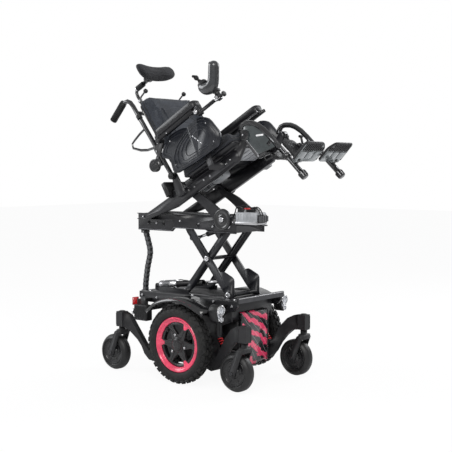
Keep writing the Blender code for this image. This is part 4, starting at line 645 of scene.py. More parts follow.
def coilTree():
    inputs = [("Finish", "Material", None), ("Turns", "Float", 5.0), ("Coil radius", "Float", 0.0085),
              ("Length", "Float", 0.05), ("Wire radius", "Float", 0.002)]
    tree, start, end, put = newTree("Coil", inputs)
    spiral = put("GeometryNodeCurveSpiral", None, {
        "Resolution": 24, "Rotations": start.outputs["Turns"], "Start Radius": start.outputs["Coil radius"],
        "End Radius": start.outputs["Coil radius"], "Height": start.outputs["Length"]})
    ring = put("GeometryNodeCurvePrimitiveCircle", None,
               {"Resolution": 10, "Radius": start.outputs["Wire radius"]})
    wire = put("GeometryNodeCurveToMesh", None, {0: spiral.outputs[0], 1: ring.outputs[0], "Fill Caps": True})
    return finishTree(tree, start, end, put, wire.outputs[0])


trees = {"points": pointsTree(), "path": pathTree(), "coil": coilTree()}


def grow(kind, holderData, values, part=None):
    # Runs a tree on a holder and hands back a plain mesh
    holder = bpy.data.objects.new("Holder", holderData)
    scene.collection.objects.link(holder)
    tree = trees[kind]
    modifier = holder.modifiers.new("Grow", "NODES")
    modifier.node_group = tree
    names = {item.name: item.identifier for item in tree.interface.items_tree if item.in_out == "INPUT"}
    source = None
    if part:
        source = bpy.data.objects.new("Part", part)
        scene.collection.objects.link(source)
        modifier[names["Part"]] = source
    for label, value in values.items():
        modifier[names[label]] = value
    graph = bpy.context.evaluated_depsgraph_get()
    graph.update()
    mesh = bpy.data.meshes.new_from_object(holder.evaluated_get(graph))
    holder.modifiers.clear()
    bpy.data.objects.remove(holder, do_unlink=True)
    if source:
        bpy.data.objects.remove(source, do_unlink=True)
    return mesh


def pointHolder(spots):
    # spots: (place, facing, along) in metres
    mesh = bpy.data.meshes.new("Points")
    mesh.from_pydata([tuple(s[0]) for s in spots], [], [])
    for label, column in (("facing", 1), ("along", 2)):
        layer = mesh.attributes.new(label, "FLOAT_VECTOR", "POINT")
        for item, spot in zip(layer.data, spots):
            item.vector = spot[column]
    return mesh


def pathHolder(points):
    data = bpy.data.curves.new("Path", "CURVE")
    data.dimensions = "3D"
    spline = data.splines.new("POLY")
    spline.points.add(len(points) - 1)
    for point, spot in zip(spline.points, points):
        point.co = (*spot, 1)
    return data


def screwHead(radius, height):
    # A button head with a round socket, a few dozen faces, facing up
    low, rim, socket = radius * height * 0.3, radius * height, radius * 0.5
    made = Shape()
    made.lathe([(0, -0.0005), (radius, -0.0005), (radius, low), (radius * 0.8, rim), (socket, rim),
                (socket * 0.95, rim * 0.45), (0, rim * 0.45)], count=12)
    return made.mesh()


def screws(name, spots, radius, body, material="steel", slot="bright_steel", height=0.6, place=chair):
    # spots: (place, facing) in the place's frame
    laid = []
    for spot, facing in spots:
        facing = place.to_3x3() @ Vector(facing)
        laid.append((place @ Vector(spot), facing, facing.orthogonal()))
    mesh = grow("points", pointHolder(laid), {"Finish": finish[material], "Size": 1.0}, screwHead(radius, height))
    return addPiece(name, mesh, body, None)


# Drive wheels, drawn about the axle with y outwards

def merged(meshes):
    bm = bmesh.new()
    finishes = []
    for mesh in meshes:
        start = len(bm.faces)
        bm.from_mesh(mesh)
        bm.faces.ensure_lookup_table()
        slots = []
        for material in mesh.materials:
            if material not in finishes:
                finishes.append(material)
            slots.append(finishes.index(material))
        for i in range(start, len(bm.faces)):
            spot = bm.faces[i].material_index
            bm.faces[i].material_index = slots[spot] if spot < len(slots) else 0
    joined = bpy.data.meshes.new("Joined")
    bm.to_mesh(joined)
    bm.free()
    for material in finishes:
        joined.materials.append(material)
    return joined


def bothSides(profile):
    # A half section from its middle outwards, closed by its mirror image
    return profile + [(r, -h) for r, h in profile[-2:0:-1]]


ground = Matrix.Identity(4)
tyreFacts = {
    "radius": 0.159, "half": 0.0285, "bead": 0.112, "grooves": 0.0062, "knobs": 34,
    "centre": (axleX, 0.231, 0.159), "welts": ((0.1335, 0.0006), (0.1235, 0.0026)),
    "middle": {"drop": 0.0006, "y": 0.0072, "lean": 0.0, "tall": 0.0068,
               "outline": [(-0.0100, -0.0054), (0.0060, -0.0060), (0.0100, 0.0010), (0.0078, 0.0058),
                           (-0.0070, 0.0056)]},
    "shoulder": {"drop": 0.0052, "y": 0.0202, "lean": 0.62, "tall": 0.0056,
                 "outline": [(-0.0098, -0.0048), (0.0062, -0.0060), (0.0100, -0.0010), (0.0060, 0.0066),
                             (-0.0080, 0.0056)]},
    "lug": {"drop": 0.0190, "y": 0.0255, "lean": 1.38, "tall": 0.0032,
            "outline": [(-0.0062, -0.0058), (0.0048, -0.0064), (0.0068, 0.0034), (0.0030, 0.0072),
                        (-0.0056, 0.0060)]},
}


def treadRow(base, block, flip, shift, mirrored):
    # One row of blocks round the tyre; a block has x along the tyre, y across it and z outwards
    spots = []
    for i in range(tyreFacts["knobs"]):
        turn = 2 * pi * (i + shift) / tyreFacts["knobs"]
        outward, ahead = Vector((cos(turn), 0, sin(turn))), Vector((-sin(turn), 0, cos(turn)))
        facing = (outward * cos(block["lean"]) + Vector((0, flip, 0)) * sin(block["lean"])).normalized()
        spots.append((outward * (base - block["drop"]) + Vector((0, flip * block["y"], 0)), facing, ahead))
    outline = [(x * mirrored[0], y * mirrored[1]) for x, y in block["outline"]]
    knob = Shape().plate(outline, -0.0015, block["tall"], "Z", rounding=0.0007, segments=1)
    return grow("points", pointHolder(spots), {"Finish": finish["tyreRubber"], "Size": 1.0}, knob.mesh())


def tyre(suffix, side):
    half, bead = tyreFacts["half"], tyreFacts["bead"]
    base = tyreFacts["radius"] - tyreFacts["grooves"]
    made = Shape().lathe(bothSides([
        (base, 0.0), (base - 0.0004, 0.010), (base - 0.0030, 0.0175), (base - 0.0085, half - 0.0045),
        (base - 0.0165, half - 0.0012), (base - 0.0235, half), (base - 0.031, half - 0.0014),
        (base - 0.036, half - 0.0042), (bead + 0.002, half - 0.0062), (bead + 0.0004, half - 0.009),
        (bead + 0.0004, 0.0)]), (0, 0, 0), (0, 1, 0), 96)
    for flip in (-1, 1):
        for ring, sunk in tyreFacts["welts"]:
            welt = [(ring - 0.0007, 0), (ring, 0.0009), (ring + 0.0007, 0), (ring, -0.0006)]
            made.lathe([(r, flip * (half - sunk + h)) for r, h in welt], (0, 0, 0), (0, 1, 0), 96)
    carcass = made.mesh()
    carcass.materials.append(finish["tyreRubber"])
    pieces = [carcass]
    for flip in (1, -1):
        shift = 0.0 if flip > 0 else 0.5
        pieces.append(treadRow(base, tyreFacts["middle"], flip, shift, (flip, flip)))
    for flip, shift in ((-1, 0.75), (1, 0.25)):
        for block in ("shoulder", "lug"):
            pieces.append(treadRow(base, tyreFacts[block], flip, shift, (1, flip)))
    mesh = merged(pieces)
    x, y, z = tyreFacts["centre"]
    mesh.transform(Matrix.Translation((x, side * y, z)))
    addPiece("tyre_with_tread_" + suffix, mesh, "wheel_" + suffix, None, ("tyre_" + suffix,), 32)


rimFacts = {
    "outer": 0.1117, "inner": 0.0837, "lip": 0.0912, "spokes": 6,
    "lugs": {"turns": [pi / 3 + 2 * pi * i / 3 for i in range(3)], "reach": 0.0765},
    "lugCap": [(0, 0.0112), (0.0040, 0.0112), (0.0046, 0.0128), (0.0040, 0.0140), (0, 0.0140)],
    "hub": [(0, -0.020), (0.031, -0.020), (0.033, -0.012), (0.0335, 0.0080), (0.0310, 0.0128), (0.0255, 0.0150),
            (0.0240, 0.0180), (0.0205, 0.0202), (0.0120, 0.0210), (0.0110, 0.0198), (0, 0.0198)],
    "rib": [(0.034, -0.0022), (0.076, -0.0018), (0.076, 0.0018), (0.034, 0.0022)],
    "bolts": {"count": 3, "ring": 0.040, "out": 0.0105, "first": pi / 2 + 0.3},
    "screws": {"count": 12, "ring": 0.0985, "out": 0.0134, "first": pi / 12},
    "valve": {"turn": 2.35, "foot": (0.090, 0.0120), "head": (0.066, 0.0185)},
}


def wheelPiece(name, shape, suffix, side, material, replaces=(), angle=30):
    x, y, z = tyreFacts["centre"]
    mesh = shape.mesh(Matrix.Translation((x, side * y, z)) @ Matrix.Diagonal((1, side, 1, 1)))
    if side < 0:
        mesh.flip_normals()
    addPiece(f"{name}_{suffix}", mesh, "wheel_" + suffix, material, replaces, angle)


def roseRing(suffix, side):
    outer, lip, lugs = rimFacts["outer"], rimFacts["lip"], rimFacts["lugs"]
    ring = Shape()
    ring.lathe([(outer, 0.0192), (outer - 0.0022, 0.0214), (outer - 0.0052, 0.0214), (outer - 0.0080, 0.0188),
                (outer - 0.0115, 0.0150), (outer - 0.0165, 0.0134), (lip + 0.0015, 0.0128), (lip, 0.0108),
                (lip, -0.0115), (outer - 0.010, -0.016), (outer - 0.004, -0.0212), (outer, -0.0185)],
               (0, 0, 0), (0, 1, 0), 80)
    for turn in lugs["turns"]:
        lug = belt((0.0925, 0, 0.0135), (lugs["reach"], 0, 0.0068), steps=20)
        ring.plate(turned(lug, turn), 0.0035, 0.0118, rounding=0.0016)
        spot = (lugs["reach"] * cos(turn), 0, lugs["reach"] * sin(turn))
        ring.lathe(rimFacts["lugCap"], spot, (0, 1, 0), 16)
    wheelPiece("rose_ring", ring, suffix, side, "rimPink", ("wheel_rim_" + suffix,))


def spokeStar(suffix, side):
    inner, lip = rimFacts["inner"], rimFacts["lip"]
    edge = [(0.020, -0.0220), (0.042, -0.0170), (0.064, -0.0105), (inner + 0.0035, -0.0120)]
    spoke = edge + [(a, -b) for a, b in edge[::-1]]
    star = Shape()
    for i in range(rimFacts["spokes"]):
        turn = 2 * pi * i / rimFacts["spokes"]
        star.plate(turned(spoke, turn), -0.0040, 0.0106, rounding=0.0024, segments=3)
        star.plate(turned(rimFacts["rib"], turn), 0.0090, 0.0126, rounding=0.0012)
    star.lathe([(lip - 0.0002, -0.0095), (lip - 0.0002, 0.0085), (inner + 0.0010, 0.0106),
                (inner - 0.0045, 0.0080), (inner - 0.0045, -0.0095)], (0, 0, 0), (0, 1, 0), 72)
    star.lathe(rimFacts["hub"], (0, 0, 0), (0, 1, 0), 48)
    star.rod((0, -0.0860, 0), (0, -0.0185, 0), 0.009, 24)
    wheelPiece("spoke_star", star, suffix, side, "hubPlastic")


def wheelTrim(suffix, side):
    x, y, z = tyreFacts["centre"]
    for name, row, radius, look in (("wheel_bolts", "bolts", 0.0062, ("steel", "bright_steel", 0.8)),
                                    ("ring_screws", "screws", 0.0022, ("darkMetal", "wheel_alloy", 0.6))):
        facts = rimFacts[row]
        spots = []
        for i in range(facts["count"]):
            turn = facts["first"] + 2 * pi * i / facts["count"]
            spot = (x + facts["ring"] * cos(turn), side * (y + facts["out"]), z + facts["ring"] * sin(turn))
            spots.append((spot, (0, side, 0)))
        screws(f"{name}_{suffix}", spots, radius, "wheel_" + suffix, *look, place=ground)
    valve = rimFacts["valve"]
    foot, head = (Vector((r * cos(valve["turn"]), out, r * sin(valve["turn"]))) for r, out in
                  (valve["foot"], valve["head"]))
    stem = Shape()
    stem.rod(foot, foot.lerp(head, 0.7), 0.0022, 12)
    stem.rod(foot.lerp(head, 0.6), head, 0.0032, 12, 0.0026, rounding=0.0006)
    wheelPiece("valve", stem, suffix, side, "gripRubber", angle=35)


# Caster wheels with their axle bolts and swivel caps

casterFacts = {
    "radius": 0.076, "half": 0.025, "y": 0.197, "boltOut": 0.0350, "spokes": 6, "grooves": (-0.0085, 0.0085),
    "front": {"x": 0.2262, "swivel": 0.2642, "top": 0.259},
    "rear": {"x": -0.4448, "swivel": -0.4068, "top": 0.254},
    "cap": [(0, -0.001), (0.0135, -0.001), (0.0135, 0.0014), (0.0118, 0.0030), (0.0045, 0.0038), (0, 0.0039)],
}


def casterWheel(end, suffix, side):
    radius, half = casterFacts["radius"], casterFacts["half"]
    x, y, z = centre = (casterFacts[end]["x"], side * casterFacts["y"], radius)
    body = f"caster_{end}_{suffix}"
    tread = Shape()
    tread.lathe(bothSides([
        (radius, 0.0), (radius - 0.0004, 0.0075), (radius - 0.0022, half - 0.0115), (radius - 0.0060, half - 0.0060),
        (radius - 0.0125, half - 0.0016), (0.0605, half), (0.0575, half - 0.0010), (0.0560, half - 0.0045),
        (0.0535, half - 0.0060), (0.0535, 0.0)]), centre, (0, 1, 0), 64)
    for at in casterFacts["grooves"]:
        tread.lathe([(radius - 0.0016, at - 0.0012), (radius - 0.0002, at - 0.0008), (radius - 0.0002, at + 0.0008),
                     (radius - 0.0016, at + 0.0012)], centre, (0, 1, 0), 64)
    addPiece(f"caster_tread_{end}_{suffix}", tread, body, "casterRubber", (f"caster_wheel_{end}_{suffix}",), 30)
    hub = Shape()
    hub.lathe(bothSides([
        (0.0536, 0.0), (0.0536, half - 0.0068), (0.0515, half - 0.0050), (0.0490, half - 0.0052),
        (0.0465, half - 0.0085), (0.0350, half - 0.0100), (0.0320, half - 0.0085), (0.0240, half - 0.0078),
        (0.0215, half - 0.0050), (0.0190, half - 0.0016), (0.0170, half - 0.0002), (0.0066, half - 0.0002),
        (0.0066, 0.0)]), centre, (0, 1, 0), 48)
    spoke = belt((0.0245, 0, 0.0024), (0.0455, 0, 0.0018), steps=10)
    for i in range(casterFacts["spokes"]):
        outline = turned(spoke, 2 * pi * i / casterFacts["spokes"], (x, z))
        for flip in (-1, 1):
            low, high = y + flip * (half - 0.0110), y + flip * (half - 0.0068)
            hub.plate(outline, low, high, rounding=0.0007, segments=1)
    addPiece(f"caster_hub_{end}_{suffix}", hub, body, "hubPlastic", angle=30)


def casterCaps(end, suffix, side):
    facts, y = casterFacts[end], side * casterFacts["y"]
    spots = [((facts["x"], y + flip * casterFacts["boltOut"], casterFacts["radius"]), (0, flip, 0))
             for flip in (-1, 1)]
    screws(f"axle_bolts_{end}_{suffix}", spots, 0.0078, f"fork_{end}_{suffix}", "darkMetal",
           height=0.55, place=ground)
    cap = Shape().lathe(casterFacts["cap"], (facts["swivel"], y, facts["top"]), (0, 0, 1), 32)
    addPiece(f"swivel_cap_{end}_{suffix}", cap, f"arm_{end}_{suffix}", "blackPlastic")


for suffix, side in sides:
    tyre(suffix, side)
    roseRing(suffix, side)
    spokeStar(suffix, side)
    wheelTrim(suffix, side)
    for end in ("front", "rear"):
        casterWheel(end, suffix, side)
        casterCaps(end, suffix, side)
print("wheels ready")


# Power base, drawn in the chair's frame

def onBase(name, shape, material):
    addPiece(name, shape, "base", material, place=chair)


deckFacts = {
    "railFace": 0.150, "railBolts": ((-0.288, 0.328), (-0.203, 0.322), (0.111, 0.334), (0.206, 0.322)),
    "topBolts": {"y": 0.120, "z": 0.342, "x": (-0.270, -0.030, 0.195)},
    "hinge": (0.070, 0.092), "armEnd": 0.1755, "nose": {"x": 0.2380, "z": 0.336},
    "hingeBoss": {"y": 0.174, "z": 0.12},
    "edge": ((0.2390, -0.148, 0.3520), (0.2420, 0.148, 0.3550)),
    "cover": [(-0.150, -0.060), (0.110, -0.060), (0.110, 0.060), (-0.150, 0.060)], "coverZ": (0.3415, 0.3440),
    "ribs": {"y": (-0.042, -0.021, 0.0, 0.021, 0.042), "x": (-0.135, 0.095), "z": (0.3435, 0.3455)},
}


def deckDetails():
    facts, nose, boss, ribs = deckFacts, deckFacts["nose"], deckFacts["hingeBoss"], deckFacts["ribs"]
    dress("deck_frame", "framePaint",
          [("darkMetal", lambda c, n: c.x > nose["x"] and c.z > nose["z"]),
           ("darkMetal", lambda c, n: abs(c.y) > boss["y"] and c.z < boss["z"])])
    top, bolts, hinges = facts["topBolts"], [], []
    for _, side in sides:
        bolts += [((x, side * facts["railFace"], z), (0, side, 0)) for x, z in facts["railBolts"]]
        bolts += [((x, side * top["y"], top["z"]), (0, 0, 1)) for x in top["x"]]
        x, z = facts["hinge"]
        hinges += [((ahead * x, side * facts["armEnd"], z), (0, side, 0)) for ahead in (-1, 1)]
    screws("deck_bolts", bolts, 0.0062, "base")
    screws("arm_hinge_bolts", hinges, 0.0092, "base", "darkMetal")
    onBase("front_bar_edge", Shape().box(*facts["edge"], 0.0009), "steel")
    cover = Shape().plate(roundLoop(facts["cover"], 0.012, 4), *facts["coverZ"], "Z", 0.0006)
    for y in ribs["y"]:
        cover.box((ribs["x"][0], y - 0.003, ribs["z"][0]), (ribs["x"][1], y + 0.003, ribs["z"][1]), 0.0009)
    onBase("deck_cover", cover, "blackPlastic")


headlightFacts = {
    "y": 0.208, "lensX": 0.1965, "rimX": 0.1972, "lamps": ((0.311, 0.2008, 0.0195), (0.276, 0.1998, 0.0110)),
    # shares of the lamp's radius, then metres ahead of its face
    "rim": [(0.84, -0.0006), (0.84, 0.0022), (0.94, 0.0030), (1.04, 0.0018), (1.06, -0.0040), (0.9, -0.0040)],
    "glass": [(0, 0.0034), (0.4, 0.0029), (0.7, 0.0017), (0.83, 0.0004), (0.83, -0.0008), (0, -0.0008)],
    "screw": (0.168, 0.170, 0.326),
}


def headlightDetails(suffix, side):
    facts = headlightFacts
    dress("headlight_" + suffix, "blackPlastic",
          [("lens", lambda c, n: c.x > facts["lensX"] and n.x > 0.7),
           ("chrome", lambda c, n: c.x > facts["rimX"] and n.x < 0.7)])
    for name, key, material in (("rims", "rim", "chrome"), ("lenses", "glass", "lens")):
        made = Shape()
        for z, face, radius in facts["lamps"]:
            profile = [(radius * share, out) for share, out in facts[key]]
            made.lathe(profile, (face, side * facts["y"], z), (1, 0, 0), 28)
        onBase(f"headlight_{name}_{suffix}", made, material)
    x, y, z = facts["screw"]
    screws("headlight_screws_" + suffix, [((x, side * y, z), (0, 0, 1))], 0.0035, "base", "darkMetal")


rearLightFacts = {
    "reflector": {"x": -0.2835, "z": 0.2892}, "lampX": -0.2975, "centre": (-0.2992, 0.191, 0.260),
    "rim": [(0.0100, -0.0006), (0.0100, 0.0010), (0.0112, 0.0014), (0.0122, 0.0008), (0.0122, -0.0060),
            (0.0110, -0.0060)],
    "dome": [(0, 0.0018), (0.005, 0.0015), (0.0085, 0.0008), (0.0099, 0.0), (0.0099, -0.0008), (0, -0.0008)],
    "ribs": {"count": 7, "first": -0.2765, "pitch": 0.0102, "half": 0.0016, "y": (0.2070, 0.2095),
             "z": (0.232, 0.288)},
}


def rearLightDetails(suffix, side):
    facts, ribs = rearLightFacts, rearLightFacts["ribs"]
    reflector = facts["reflector"]
    dress("rear_light_" + suffix, "blackPlastic",
          [("lampRed", lambda c, n: c.x < reflector["x"] and c.z > reflector["z"]),
           ("lampRed", lambda c, n: c.x < facts["lampX"])])
    x, y, z = facts["centre"]
    for name, key, material in (("rim", "rim", "chrome"), ("lens", "dome", "lampRed")):
        onBase(f"rear_lamp_{name}_{suffix}", Shape().lathe(facts[key], (x, side * y, z), (-1, 0, 0), 24), material)
    made = Shape()
    for i in range(ribs["count"]):
        x = ribs["first"] + i * ribs["pitch"]
        made.box((x - ribs["half"], side * ribs["y"][0], ribs["z"][0]),
                 (x + ribs["half"], side * ribs["y"][1], ribs["z"][1]), 0.0008)
    onBase("rear_light_ribs_" + suffix, made, "blackPlastic")


springFacts = {"y": 0.144, "top": (0.134, 0.196), "low": (0.176, 0.136), "turns": 5.0, "coil": 0.0085, "wire": 0.0022,
               "seat": 0.0093, "short": 0.0178, "cups": (0.0090, 0.0087),
               "cup": [(0, 0), (0.0108, 0), (0.0108, 0.0016), (0.0085, 0.0026), (0, 0.0026)]}


def springDetails(suffix, side):
    facts = springFacts
    top, low = (Vector((x, side * facts["y"], z)) for x, z in (facts["top"], facts["low"]))
    along = (low - top).normalized()
    values = {"Finish": finish["springRed"], "Turns": facts["turns"], "Coil radius": facts["coil"],
              "Length": (low - top).length - facts["short"], "Wire radius": facts["wire"]}
    mesh = grow("coil", pathHolder([(0, 0, 0), (0, 0, 1)]), values)
    turn = Vector((0, 0, 1)).rotation_difference(along).to_matrix().to_4x4()
    mesh.transform(chair @ Matrix.Translation(top + along * facts["seat"]) @ turn)
    addPiece("spring_coil_" + suffix, mesh, "base", None, ("suspension_spring_" + suffix,), 60)
    cups = Shape()
    for spot, way in ((top + along * facts["cups"][0], -1), (low - along * facts["cups"][1], 1)):
        cups.lathe(facts["cup"], spot, along * way, 20)
    onBase("spring_seats_" + suffix, cups, "darkMetal")


chainFacts = {
    "route": [(-0.345, 0.3225), (-0.345, 0.363), (-0.334, 0.432), (-0.318, 0.501), (-0.330, 0.553), (-0.347, 0.5985)],
    "y": -0.070, "links": 15, "reach": (0.3235, 0.5975),
    "side": {"y": 0.0088, "half": 0.0016, "circles": ((-0.0052, 0.0, 0.0088), (0.0056, 0.0, 0.0076))},
    "bar": {"z": 0.0072, "half": 0.0009, "x": (-0.0046, 0.0040), "y": 0.0080},
    "pin": {"x": 0.0062, "half": 0.0112, "radius": 0.0026},
    "ends": (((-0.359, -0.084, 0.3223), (-0.331, -0.056, 0.3365)),
             ((-0.359, -0.084, 0.5850), (-0.333, -0.056, 0.5989))),
    "screws": {"at": (-0.345, -0.084), "z": (0.3295, 0.592)}, "cableGap": 0.0035, "cable": 0.0030,
}


def chainLink():
    plate, bar, pin = chainFacts["side"], chainFacts["bar"], chainFacts["pin"]
    link = Shape()
    for flip in (-1, 1):
        y = flip * plate["y"]
        link.plate(belt(*plate["circles"], steps=14), y - plate["half"], y + plate["half"],
                   rounding=0.0005, segments=1)
    for flip in (-1, 1):
        z = flip * bar["z"]
        link.box((bar["x"][0], -bar["y"], z - bar["half"]), (bar["x"][1], bar["y"], z + bar["half"]), 0.0003, 1)
    return link.rod((pin["x"], -pin["half"], 0), (pin["x"], pin["half"], 0), pin["radius"], 10)


def chainDetails():
    # The path's normal lies across the route, so each link is drawn with its width on y
    facts = chainFacts
    path = [(x, facts["y"], z) for x, z in curveThrough(facts["route"], 10)]
    values = {"Finish": finish["darkGrey"], "Count": facts["links"], "Size": 1.0}
    laid = grow("path", pathHolder(path), values, chainLink().mesh())
    laid.transform(chair)
    made = addPiece("chain_links", laid, "base", None, ("cable_chain",), 40)
    for vertex in made.data.vertices:
        vertex.co.z = min(max(vertex.co.z, facts["reach"][0]), facts["reach"][1])
    ends, cables = Shape(), Shape()
    for low, high in facts["ends"]:
        ends.box(low, high, 0.0015)
    onBase("chain_ends", ends, "blackPlastic")
    for flip in (-1, 1):
        cables.tube([(x + flip * facts["cableGap"], y, z) for x, y, z in path[2:-2]], facts["cable"], 8)
    onBase("chain_cables", cables, "cable")
    x, y = facts["screws"]["at"]
    screws("chain_end_screws", [((x, y, z), (0, -1, 0)) for z in facts["screws"]["z"]], 0.0036, "base")


shroudFacts = {"side": (0.0835, 0.0885), "z": (0.072, 0.284), "x": (0.192, 0.2062),
               "lip": ((0.191, -0.084, 0.0655), (0.2035, 0.084, 0.0700)),
               "screws": {"x": 0.2052, "y": 0.074, "z": (0.090, 0.268)}}


def shroudDetails():
    facts, bolts = shroudFacts, shroudFacts["screws"]
    dress("front_shroud", "shroud", [("blackGloss", lambda c, n: n.z > 0.8)])
    edge = Shape()
    for side in (-1, 1):
        (near, far), (low, high) = facts["side"], facts["z"]
        loop = roundLoop([(side * far, low), (side * near, low), (side * near, high), (side * far, high)], 0.002, 3)
        edge.plate(loop, *facts["x"], "X", 0.0008)
    edge.box(*facts["lip"], 0.0012)
    onBase("shroud_edges", edge, "blackGloss")
    spots = [((bolts["x"], y, z), (1, 0, 0)) for y in (-bolts["y"], bolts["y"]) for z in bolts["z"]]
    screws("shroud_screws", spots, 0.0036, "base", "darkMetal")


fenderFacts = {"arch": [(-0.157, 0.284), (-0.099, 0.326), (-0.012, 0.344), (0.065, 0.333), (0.148, 0.299)],
               "edgeY": 0.2615, "sink": 0.0004, "bead": 0.0013, "boltY": 0.1545,
               "bolts": ((-0.090, 0.315), (0.068, 0.318))}


def fenderDetails(suffix, side):
    facts = fenderFacts
    dress("fender_" + suffix, "blackGloss")
    # A thin deep rose bead along the arch's edge is painted highlight, standing for the rose highlight along the
    # fender's edge
    arch = [(x, side * facts["edgeY"], z - facts["sink"]) for x, z in curveThrough(facts["arch"], 8)]
    onBase("fender_edge_" + suffix, Shape().tube(arch, facts["bead"], 8), "fenderHighlightRose")
    spots = [((x, side * facts["boltY"], z), (0, side, 0)) for x, z in facts["bolts"]]
    screws("fender_screws_" + suffix, spots, 0.0042, "base")


motorFacts = {"ribs": 7, "first": 0.034, "pitch": 0.0125, "axis": (0.090, 0.092),
              "rib": [(0.0322, 0), (0.0345, 0.0006), (0.0345, 0.0028), (0.0322, 0.0034)]}


def motorDetails(suffix, side):
    facts = motorFacts
    dress("drive_motor_" + suffix, "darkMetal")
    ribs = Shape()
    for i in range(facts["ribs"]):
        y, z = facts["axis"]
        ribs.lathe(facts["rib"], (facts["first"] + i * facts["pitch"], side * y, z), (1, 0, 0), 36)
    onBase("motor_ribs_" + suffix, ribs, "darkMetal")


casterArmFacts = {
    "hingeY": 0.1724, "post": {"y": 0.197, "half": 0.0175, "rib": 0.0018, "inset": 0.006},
    "front": {"way": 1, "swivel": 0.308, "z": (0.196, 0.259)},
    "rear": {"way": -1, "swivel": -0.363, "z": (0.190, 0.254)},
    "ring": [(0.020, 0), (0.0238, 0.0006), (0.0238, 0.0022), (0.0195, 0.0030), (0.0125, 0.0030), (0.0125, 0)],
}


def armDetails(end, suffix, side):
    facts, post = casterArmFacts[end], casterArmFacts["post"]
    for node in ("caster_arm", "caster_fork"):
        dress(f"{node}_{end}_{suffix}", "castArm")
    x, z = deckFacts["hinge"]
    trim = Shape().lathe(casterArmFacts["ring"], (facts["way"] * x, side * casterArmFacts["hingeY"], z),
                         (0, side, 0), 28)
    low, high = facts["z"]
    for y in (-post["half"], post["half"]):
        for x in (facts["swivel"] - post["half"], facts["swivel"] + post["half"]):
            corner = side * post["y"] + y
            trim.box((x - post["rib"], corner - post["rib"], low + post["inset"]),
                     (x + post["rib"], corner + post["rib"], high - post["inset"]), 0.0014, 2)
    addPiece(f"arm_trim_{end}_{suffix}", trim, f"arm_{end}_{suffix}", "castArm", place=chair)


deckDetails()
dress("battery_box", "blackPlastic")
shroudDetails()
chainDetails()
for suffix, side in sides:
    headlightDetails(suffix, side)
    rearLightDetails(suffix, side)
    springDetails(suffix, side)
    fenderDetails(suffix, side)
    motorDetails(suffix, side)
    for end in ("front", "rear"):
        armDetails(end, suffix, side)
print("base ready")


# Lift and seat platform, drawn in the chair's frame

liftFacts = {"front": 0.139, "base": 0.353, "bar": 0.370, "angle": radians(50), "ribInset": 0.035, "ribOut": 0.0128,
             "ribRadius": 0.0014, "outerRibY": 0.0860, "innerRibY": 0.0655, "crank": 0.065,
             "crankTurn": radians(129.4)}
reach, rise = liftFacts["bar"] * cos(liftFacts["angle"]), liftFacts["bar"] * sin(liftFacts["angle"])
frontLow, frontHigh = (liftFacts["front"], liftFacts["base"]), (liftFacts["front"], liftFacts["base"] + rise)
rearLow, rearHigh = (frontLow[0] - reach, frontLow[1]), (frontLow[0] - reach, frontHigh[1])
crossing = ((frontLow[0] + rearLow[0]) / 2, (frontLow[1] + frontHigh[1]) / 2)
pivots = {      # pin, face of the cap, its radius
    "outer": ((frontLow, 0.0955, 0.0125), (rearHigh, 0.0872, 0.0085)),
    "inner": ((frontHigh, 0.0958, 0.0135), (crossing, 0.0888, 0.0115), (rearLow, 0.0880, 0.0085)),
}


def pivotCap(made, spot, y, side, radius):
    made.lathe([(radius, -0.0012), (radius, 0.0008), (radius * 0.86, 0.0018), (radius * 0.5, 0.0018),
                (radius * 0.42, 0.0008), (0, 0.0008), (0, -0.0012)], (spot[0], side * y, spot[1]), (0, side, 0), 24)


def barRib(made, start, end, y):
    # A raised edge along both sides of a scissor bar, so that it reads as a pressed channel
    first, last = Vector(start), Vector(end)
    way = (last - first).normalized()
    across, inset = Vector((-way.y, way.x)) * liftFacts["ribOut"], way * liftFacts["ribInset"]
    for sign in (-1, 1):
        line = (first + inset + across * sign, last - inset + across * sign)
        made.tube([(p.x, y, p.y) for p in line], liftFacts["ribRadius"], 8)


def liftDetails():
    dress("lift_arms_outer", "scissorPaint", [("steel", lambda c, n: abs(c.y) < 0.0615 and c.z > 0.5)])
    dress("lift_arms_inner", "scissorPaint")
    made = {}
    for kind, start, end in (("outer", frontLow, rearHigh), ("inner", frontHigh, rearLow)):
        ribs, caps = made[kind] = Shape(), Shape()
        for _, side in sides:
            barRib(ribs, start, end, side * liftFacts[kind + "RibY"])
            for spot, y, radius in pivots[kind]:
                pivotCap(caps, spot, y, side, radius)
    for kind in made:
        addPiece(kind + "_bar_edges", made[kind][0], "lift_" + kind, "scissorPaint", place=chair)
    for kind in made:
        addPiece(kind + "_bar_caps", made[kind][1], "lift_" + kind, "steel", place=chair)


actuatorFacts = {       # along the actuator from its pin
    "pin": (-0.294, -0.042, 0.357), "motorEnd": 0.1025, "headEnd": 0.0155,
    "ribs": (0.021, 0.026, 0.031, 0.087, 0.092, 0.097),
    "rib": [(0.0186, 0), (0.0199, 0.0004), (0.0199, 0.0022), (0.0186, 0.0026)],
    "neck": [(0.0126, 0), (0.0165, 0), (0.0165, 0.010), (0.0126, 0.012)], "neckAt": 0.103,
    "band": [(0.0187, 0), (0.01945, 0.0003), (0.01945, 0.0337), (0.0187, 0.034)], "bandAt": 0.043,
    "lead": [(0.100, 0.010, 0.014), (0.118, 0.013, 0.017), (0.142, 0.011, 0.014), (0.165, 0.006, 0.0125)],
}


